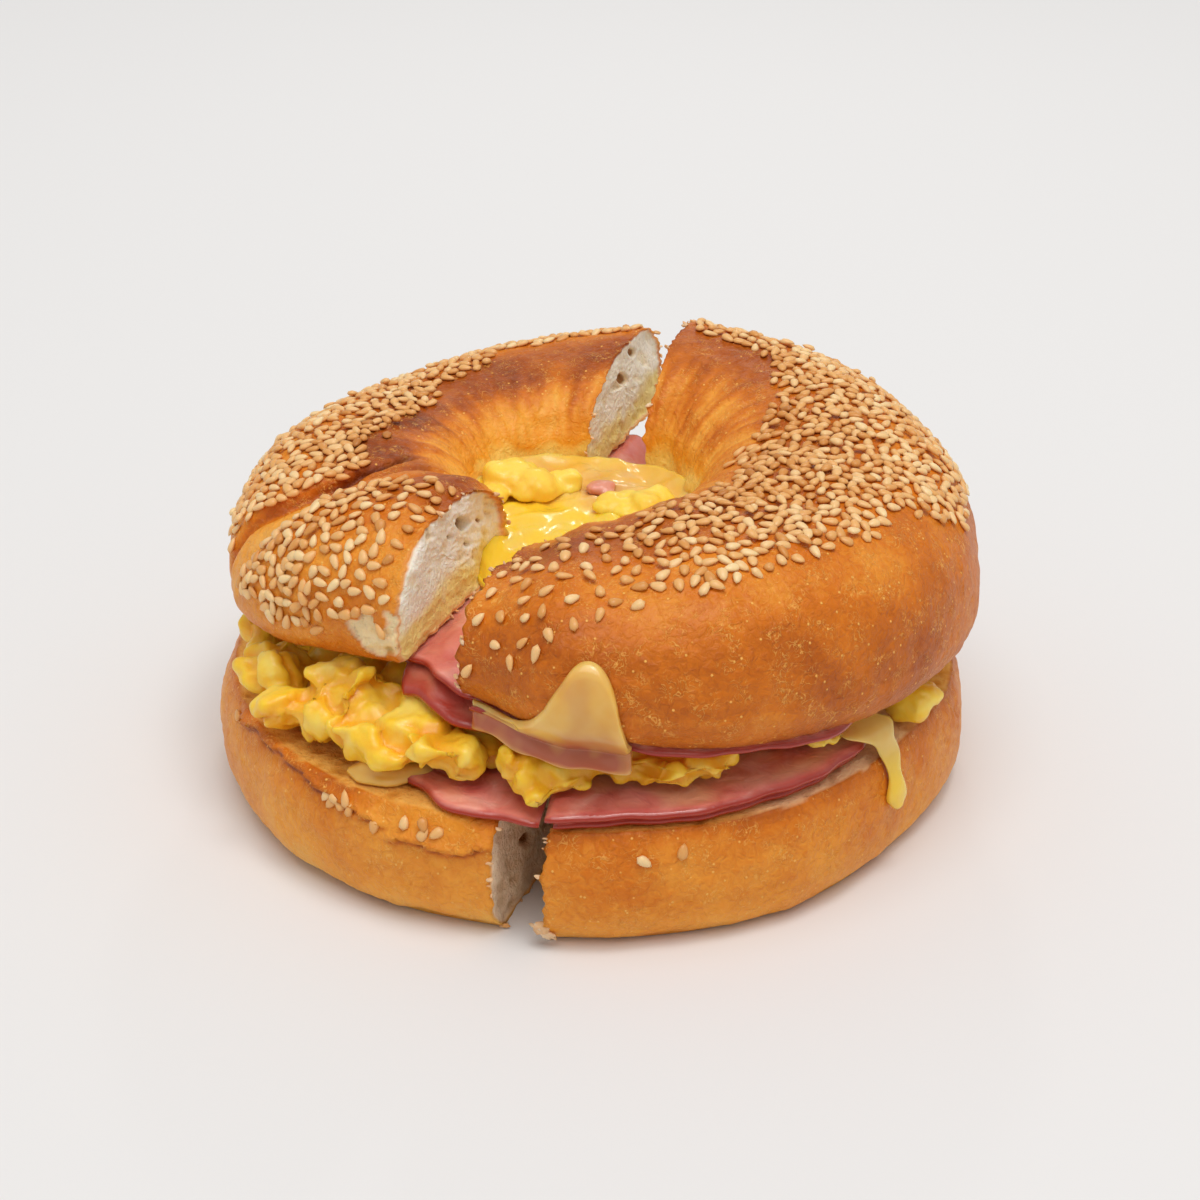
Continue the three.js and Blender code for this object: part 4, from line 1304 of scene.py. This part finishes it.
def cheese_flap(material):
    """Cheese pressed out over the ham's edge, with a flap that climbs the crust."""
    half = HALVES["crown_right"]
    u, v = np.meshgrid(np.linspace(0, 1, 49), np.linspace(0, 1, 97), indexing="ij")
    a = FLAP["span"][0] + (FLAP["span"][1] - FLAP["span"][0]) * v
    outline = curve_through([(*key, 0) for key in FLAP["crest"]], 400)
    crest = np.interp(a, outline[:, 0], outline[:, 1])
    turn = crest + (FLAP["tuck"] - crest) * np.minimum(1, u / 0.6)
    fall = np.maximum(0, u - 0.6) / 0.4
    edge = np.minimum(np.minimum(u / 0.06, (1 - u) / 0.06), np.minimum(v / 0.03, (1 - v) / 0.03))
    climb = smooth((crest + 30) / 12)
    edge = np.minimum(edge, 0.2 + 3 * climb + 10 * np.clip(u - 0.3, 0, 1))
    thick = CHEESE * (0.25 + 0.85 * np.sqrt(np.clip(edge, 0, 1)))
    grids = []
    for top in (1, 0):
        out = GAP + thick * top + 0.12 * rough(np.stack([u * 18, v * 24, 0 * u], axis=-1), 4)
        points, _ = crown_point(half, a, turn, out)
        push = fall * 0.9
        points[..., 0] += push * np.cos(np.radians(a))
        points[..., 1] += push * np.sin(np.radians(a))
        points[..., 2] -= fall * FLAP["drop"] * (1 + 0.1 * np.sin(a * 0.9))
        grids.append(points)
    over_ham = smooth((u - 0.24) / 0.34) * (1.0 + 0.4 * rough(grids[0], 3.5))
    blush = 0.3 * smooth(rough(grids[0], 5, 2.0)) + over_ham * (1 - 0.5 * smooth((u - 0.85) / 0.12))
    points, shell = sheet(*grids)
    marks = {"blush": np.concatenate([blush.ravel()] * 2), "yolk": np.zeros(len(points))}
    return make_piece("melted_cheese_flap", points, shell, material, ["cheese_flap"], marks)


def cheese_run(material):
    """Cheese that runs out at the right, narrows over the heel's edge and ends in a drip."""
    half = HALVES["heel_right"]
    turns = np.array(RUN["turns"], dtype=float)
    down, _ = heel_point(half, RUN["azimuth"] + 0 * turns, turns, GAP + 0.1 + CHEESE / 2)
    steps, sides = 72, 28
    path = curve_through([*RUN["shelf"], *down.tolist()], steps + 1)
    a = math.radians(RUN["azimuth"] + 8)
    side = np.array([-math.sin(a), math.cos(a), 0])
    share = np.linspace(0, 1, steps + 1)
    way = unit(np.gradient(path, axis=0))
    normal = unit(np.cross(way, side))
    tip = np.sqrt(np.clip((1.004 - share) / 0.03, 0.05, 1))
    wide = along(RUN["width"], share) / 2 * tip * (1 + 0.07 * np.sin(share * 23))
    thick = CHEESE / 2 * (0.8 + 0.75 * smooth((share - 0.7) / 0.2)) * tip
    angle = np.linspace(0, 2 * np.pi, sides, endpoint=False)
    rings = (
        path[:, None]
        - side * (wide[:, None] * np.cos(angle))[..., None]
        + normal[:, None] * (thick[:, None] * power(np.sin(angle), 0.8))[..., None]
    )
    rings = rings + normal[:, None] * (0.16 * rough(rings, 3.5))[..., None]
    yolk = np.broadcast_to(0.05 + 0.65 * smooth((share - 0.4) / 0.4)[:, None], (steps + 1, sides)).ravel()
    marks = {"blush": 0.06 + 0.3 * yolk, "yolk": yolk}
    points, faces = rings.reshape(-1, 3), tube_faces(steps + 1, sides)
    return make_piece("melted_cheese_run", points, faces, material, ["cheese_run"], marks)


def cheese_drop(material):
    """The drop of cheese on the heel's edge at the left."""
    shape, faces = ball(28, 18)
    swell = 1 + 0.16 * rough(shape, 0.8, 4.0)
    points = np.array(DROP["at"]) + shape * np.array(DROP["half"]) * swell[:, None]
    points[:, 2] = np.maximum(points[:, 2], HEEL_HEIGHT + GAP)
    marks = {"blush": 0 * points[:, 0] + 0.15, "yolk": 0 * points[:, 0] + 0.15}
    return make_piece("melted_cheese_drop", points, faces, material, ["cheese_drop"], marks)


def cheese_pool(material):
    """Melted cheese and soft yolk that fill the hole and run into the slot at the front."""
    rings, sides = 38, 140
    a = np.linspace(0, 360, sides, endpoint=False)
    reach = HOLE + 2.2 + 7.3 * np.exp(-(((a - CUT_FRONT) / 24) ** 2))
    share = np.sin(np.linspace(0, 1, rings + 1)[1:] * np.pi / 2)
    blocks = []
    for top in (True, False):
        s = share[:, None]
        r = s * reach[None]
        x = HOLE_AT[0] + r * np.cos(np.radians(a))
        y = HOLE_AT[1] + r * np.sin(np.radians(a))
        under = lid(x, y) + 0.2
        level = POOL_LEVEL - 0.45 * np.maximum(0, r - HOLE - 1.3) + 0.3 * np.sin(x * 0.5) * np.cos(y * 0.4)
        flat = np.stack([x, y, 0 * x], axis=-1)
        level = level + 0.7 * rough(flat, 5) + 0.3 * rough(flat, 2.1, 3.0)
        level = level + along(CLIMB, a) * smooth((r - HOLE + 4) / 5) ** 2
        rounded = under + (level - under) * np.sqrt(np.clip((1 - s) / 0.07, 0.25, 1))
        blocks.append(np.stack([x, y, rounded if top else under], axis=-1))
    top, under = blocks
    n = rings * sides
    quads = grid_quads(rings, sides, wrap=True)
    faces = quads.tolist() + (quads[:, ::-1] + n).tolist()
    rim = (rings - 1) * sides
    for j in range(sides):
        nxt = (j + 1) % sides
        faces.append((rim + j, rim + j + n, rim + nxt + n, rim + nxt))
        faces.append((2 * n, j, nxt))
        faces.append((2 * n + 1, nxt + n, j + n))
    hubs = np.stack([top[0].mean(axis=0), under[0].mean(axis=0)])
    points = np.concatenate([top.reshape(-1, 3), under.reshape(-1, 3), hubs])
    x, y = points[:, 0], points[:, 1]
    plan = points * [1, 1, 0]
    front = smooth((9.5 - y - 0.3 * (x - HOLE_AT[0]) + 3 * rough(plan, 9, 4.0)) / 5)
    beyond = smooth((np.hypot(x - HOLE_AT[0], y - HOLE_AT[1]) - HOLE + 3) / 3)
    front = np.maximum(front, 0.2 * smooth(0.5 + 2 * rough(plan, 7, 9.0)) + 0.2 * beyond)
    # Ham juice tints the cheese round the bit that lies on it
    bit, _ = ON_POOL["ham_hole"][0]
    pink = 0.7 * np.exp(-((np.hypot(x - bit[0], y - bit[1]) / 3.4) ** 2))
    marks = {"blush": pink, "yolk": front * (0.9 + 0.1 * rough(points, 5))}
    return make_piece("melted_cheese_pool", points, faces, material, ["cheese_pool"], marks)


# What a user would change


def colour_property(name, description, code):
    """A colour setting with its default as a hex code."""
    return bpy.props.FloatVectorProperty(
        name=name, description=description, subtype="COLOR", size=3, min=0, max=1, default=srgb(code)[:3]
    )


def length_property(name, description, default, least, most):
    """A length setting, given in millimetres."""
    return bpy.props.FloatProperty(
        name=name,
        description=description,
        default=default * MM,
        min=least * MM,
        max=most * MM,
        unit="LENGTH",
    )


def light_property(name, description, default, unit="NONE"):
    """A light's strength or power."""
    return bpy.props.FloatProperty(name=name, description=description, default=default, min=0, unit=unit)


class BagelBreadSettings(bpy.types.PropertyGroup):
    """Colours of the bread and its seeds, and the seeds' size."""

    crust_pale: colour_property("Pale crust", "Crust where it is baked least", "#F2A036")
    crust_gold: colour_property("Golden crust", "Crust over most of the bagel", "#D67412")
    crust_brown: colour_property("Brown crust", "Crust round the top of the hole", "#A84E06")
    crumb: colour_property("Crumb", "Bread inside the crust", "#FFF8E8")
    # Painted shade in the crumb's pores
    crumb_shade: colour_property("Crumb, pore shade", "Painted shade in the crumb's pores", "#FAEACA")
    seed: colour_property("Seed", "Lightly toasted sesame", "#EBB26C")
    seed_length: length_property("Seed length", "Length of a sesame seed", 2.7, 1, 5)
    seed_width: length_property("Seed width", "Width of a sesame seed", 1.5, 1, 4)
    seed_height: length_property("Seed height", "Thickness of a seed", 1.05, 0.3, 2)


class BagelFillingSettings(bpy.types.PropertyGroup):
    """Colours of the ham, egg and cheese."""

    ham: colour_property("Ham", "Lean of the ham", "#E2867A")
    ham_deep: colour_property("Ham, deep", "Deeper pink in the ham", "#D0625A")
    # Also the colour of the painted shade on the slice that hangs in shade
    rind: colour_property("Ham rind", "Smoked edge of the ham", "#A62606")
    egg: colour_property("Egg", "Scrambled egg", "#FFCE36")
    egg_deep: colour_property("Egg, deep", "Yolkier parts of the egg", "#F8B020")
    cheese: colour_property("Cheese", "Melted cheese", "#F6D07A")
    yolk: colour_property("Soft yolk", "Smooth egg in the hole", "#FFD432")


class BagelStageSettings(bpy.types.PropertyGroup):
    """The floor and the light."""

    floor: colour_property("Floor", "Plain pale floor", "#E8E7E6")
    key: light_property("Key light", "Strength of the broad light from above", 1.34)
    glint: light_property("Glint light", "Power of the small lamp that wet pieces mirror", 0.5, "POWER")
    window: light_property(
        "Window light", "Power of the small light behind, seen in wet cheese", 0.14, "POWER"
    )
    fill: light_property("Fill", "Strength of the light all round", 0.51)


# Operators, one for each piece or group of like pieces


class BAGEL_OT_bread(bpy.types.Operator):
    """Builds the two crown halves and the two heel halves with their seeds"""

    bl_idname = "bagel.bread"
    bl_label = "Build bread and seeds"

    def execute(self, context):
        look = context.scene.bagel_bread
        dough, sesame = bread_material(look), seed_material(look)
        rng = np.random.default_rng(7)
        for name in HALVES:
            bread = bread_half(name, dough, rng)
            places = STRAYS[name] if name in STRAYS else sow(name, rng)
            seeds_on(name, places, bread, sesame, look, rng)
        return {"FINISHED"}


class BAGEL_OT_ham(bpy.types.Operator):
    """Builds the ham slices"""

    bl_idname = "bagel.ham"
    bl_label = "Build ham"

    def execute(self, context):
        meat = ham_material(context.scene.bagel_filling)
        for name in SLICES:
            ham_slice(name, meat)
        return {"FINISHED"}


class BAGEL_OT_egg(bpy.types.Operator):
    """Builds the scrambled egg, and the bits that lie on the cheese in the hole"""

    bl_idname = "bagel.egg"
    bl_label = "Build egg"

    def execute(self, context):
        look = context.scene.bagel_filling
        egg = egg_material(look)
        meat = ham_material(look)
        rng = np.random.default_rng(11)
        for name, heap in HEAPS.items():

            def floor(x, y, heap=heap):
                return np.where(past_ham(heap, x, y), HEEL_HEIGHT + 0.5, heap["floor"]) + 0.3

            def ceiling(x, y, heap=heap):
                return np.where(past_ham(heap, x, y), lid(x, y) - 0.5, heap["ceiling"](x, y)) - 0.3

            curds(name, heap["lumps"], floor, ceiling, egg, "egg", rng, heap_core(heap))
        for name, lumps in ON_POOL.items():
            slot = "ham" if name == "ham_hole" else "egg"
            curds(
                name,
                lumps,
                lambda x, y: POOL_LEVEL - 0.1 + 0 * x,
                lambda x, y: 60 + 0 * x,
                meat if slot == "ham" else egg,
                slot,
                rng,
                voxel=0.35,
            )
        return {"FINISHED"}


class BAGEL_OT_cheese(bpy.types.Operator):
    """Builds the melted cheese"""

    bl_idname = "bagel.cheese"
    bl_label = "Build cheese"

    def execute(self, context):
        melted = cheese_material(context.scene.bagel_filling)
        cheese_flap(melted)
        cheese_run(melted)
        cheese_drop(melted)
        cheese_pool(melted)
        return {"FINISHED"}


class BAGEL_OT_stage(bpy.types.Operator):
    """Sets the floor, the light and the camera"""

    bl_idname = "bagel.stage"
    bl_label = "Set the stage"

    def execute(self, context):
        look = context.scene.bagel_stage
        scene = context.scene
        mesh = bpy.data.meshes.new("floor")
        r = FLOOR_REACH
        mesh.from_pydata([(-r, -r, 0), (r, -r, 0), (r, r, 0), (-r, r, 0)], [], [(0, 1, 2, 3)])
        # Painted board, matt: it takes soft shadows and no shine
        board, tree, shader, _ = new_material("matt_board")
        surface = {
            "Base Color": opaque(look.floor),
            "Roughness": 0.9,
        }
        set_inputs(tree, shader, surface)
        mesh.materials.append(board)
        floor = bpy.data.objects.new("floor", mesh)
        scene.collection.objects.link(floor)

        world = bpy.data.worlds.new("soft_studio")
        world.use_nodes = True
        background = world.node_tree.nodes["Background"]
        background.inputs["Color"].default_value = (1.0, 0.992, 0.988, 1.0)
        background.inputs["Strength"].default_value = look.fill
        scene.world = world
        # Name, kind, place in metres, size (the sun's angle, a lamp's side in metres) and strength
        lamps = [
            ("key", "SUN", (0.04, -0.25, 0.96), math.radians(50), look.key),
            ("glint", "AREA", (0.1, -0.12, 0.6), 0.14, look.glint),
            ("window", "AREA", (0.04, 0.5, 0.36), 0.055, look.window),
        ]
        for name, kind, at, size, strength in lamps:
            lamp = bpy.data.lights.new(name, kind)
            if kind == "SUN":
                lamp.angle = size
            else:
                lamp.size = size
            lamp.energy = strength
            lamp.color = (1.0, 0.99, 0.98)
            holder = bpy.data.objects.new(name, lamp)
            holder.location = at
            holder.rotation_euler = (Vector((0, 0, 0.02)) - Vector(at)).to_track_quat("-Z", "Y").to_euler()
            scene.collection.objects.link(holder)

        eye = bpy.data.cameras.new("camera")
        eye.lens = LENS
        eye.sensor_width = SENSOR
        holder = bpy.data.objects.new("camera", eye)
        holder.location = ((np.array(CAMERA_AT) + SHIFT) * MM).tolist()
        holder.rotation_euler = (math.radians(90 - CAMERA_DOWN), 0, math.radians(CAMERA_TURN))
        scene.collection.objects.link(holder)
        scene.camera = holder
        scene.view_settings.view_transform = "Standard"
        return {"FINISHED"}


class BAGEL_PT_panel(bpy.types.Panel):
    """Lists the settings and the steps"""

    bl_label = "Bagel"
    bl_space_type = "VIEW_3D"
    bl_region_type = "UI"
    bl_category = "Bagel"

    def draw(self, context):
        layout = self.layout
        for group in (context.scene.bagel_bread, context.scene.bagel_filling, context.scene.bagel_stage):
            box = layout.box()
            for name in group.__annotations__:
                box.prop(group, name)
        for operator in STEPS:
            layout.operator(operator.bl_idname)


STEPS = (BAGEL_OT_bread, BAGEL_OT_ham, BAGEL_OT_egg, BAGEL_OT_cheese, BAGEL_OT_stage)
GROUPS = {
    "bagel_bread": BagelBreadSettings,
    "bagel_filling": BagelFillingSettings,
    "bagel_stage": BagelStageSettings,
}


def register():
    """Registers the settings, the operators and the panel."""
    for name, group in GROUPS.items():
        bpy.utils.register_class(group)
        setattr(bpy.types.Scene, name, bpy.props.PointerProperty(type=group))
    for operator in STEPS:
        bpy.utils.register_class(operator)
    bpy.utils.register_class(BAGEL_PT_panel)


def unregister():
    """Takes them out again."""
    bpy.utils.unregister_class(BAGEL_PT_panel)
    for operator in reversed(STEPS):
        bpy.utils.unregister_class(operator)
    for name, group in GROUPS.items():
        delattr(bpy.types.Scene, name)
        bpy.utils.unregister_class(group)


def main():
    """Builds every piece in order."""
    register()
    bpy.ops.bagel.bread()
    bpy.ops.bagel.ham()
    bpy.ops.bagel.egg()
    bpy.ops.bagel.cheese()
    bpy.ops.bagel.stage()


if __name__ == "__main__":
    main()
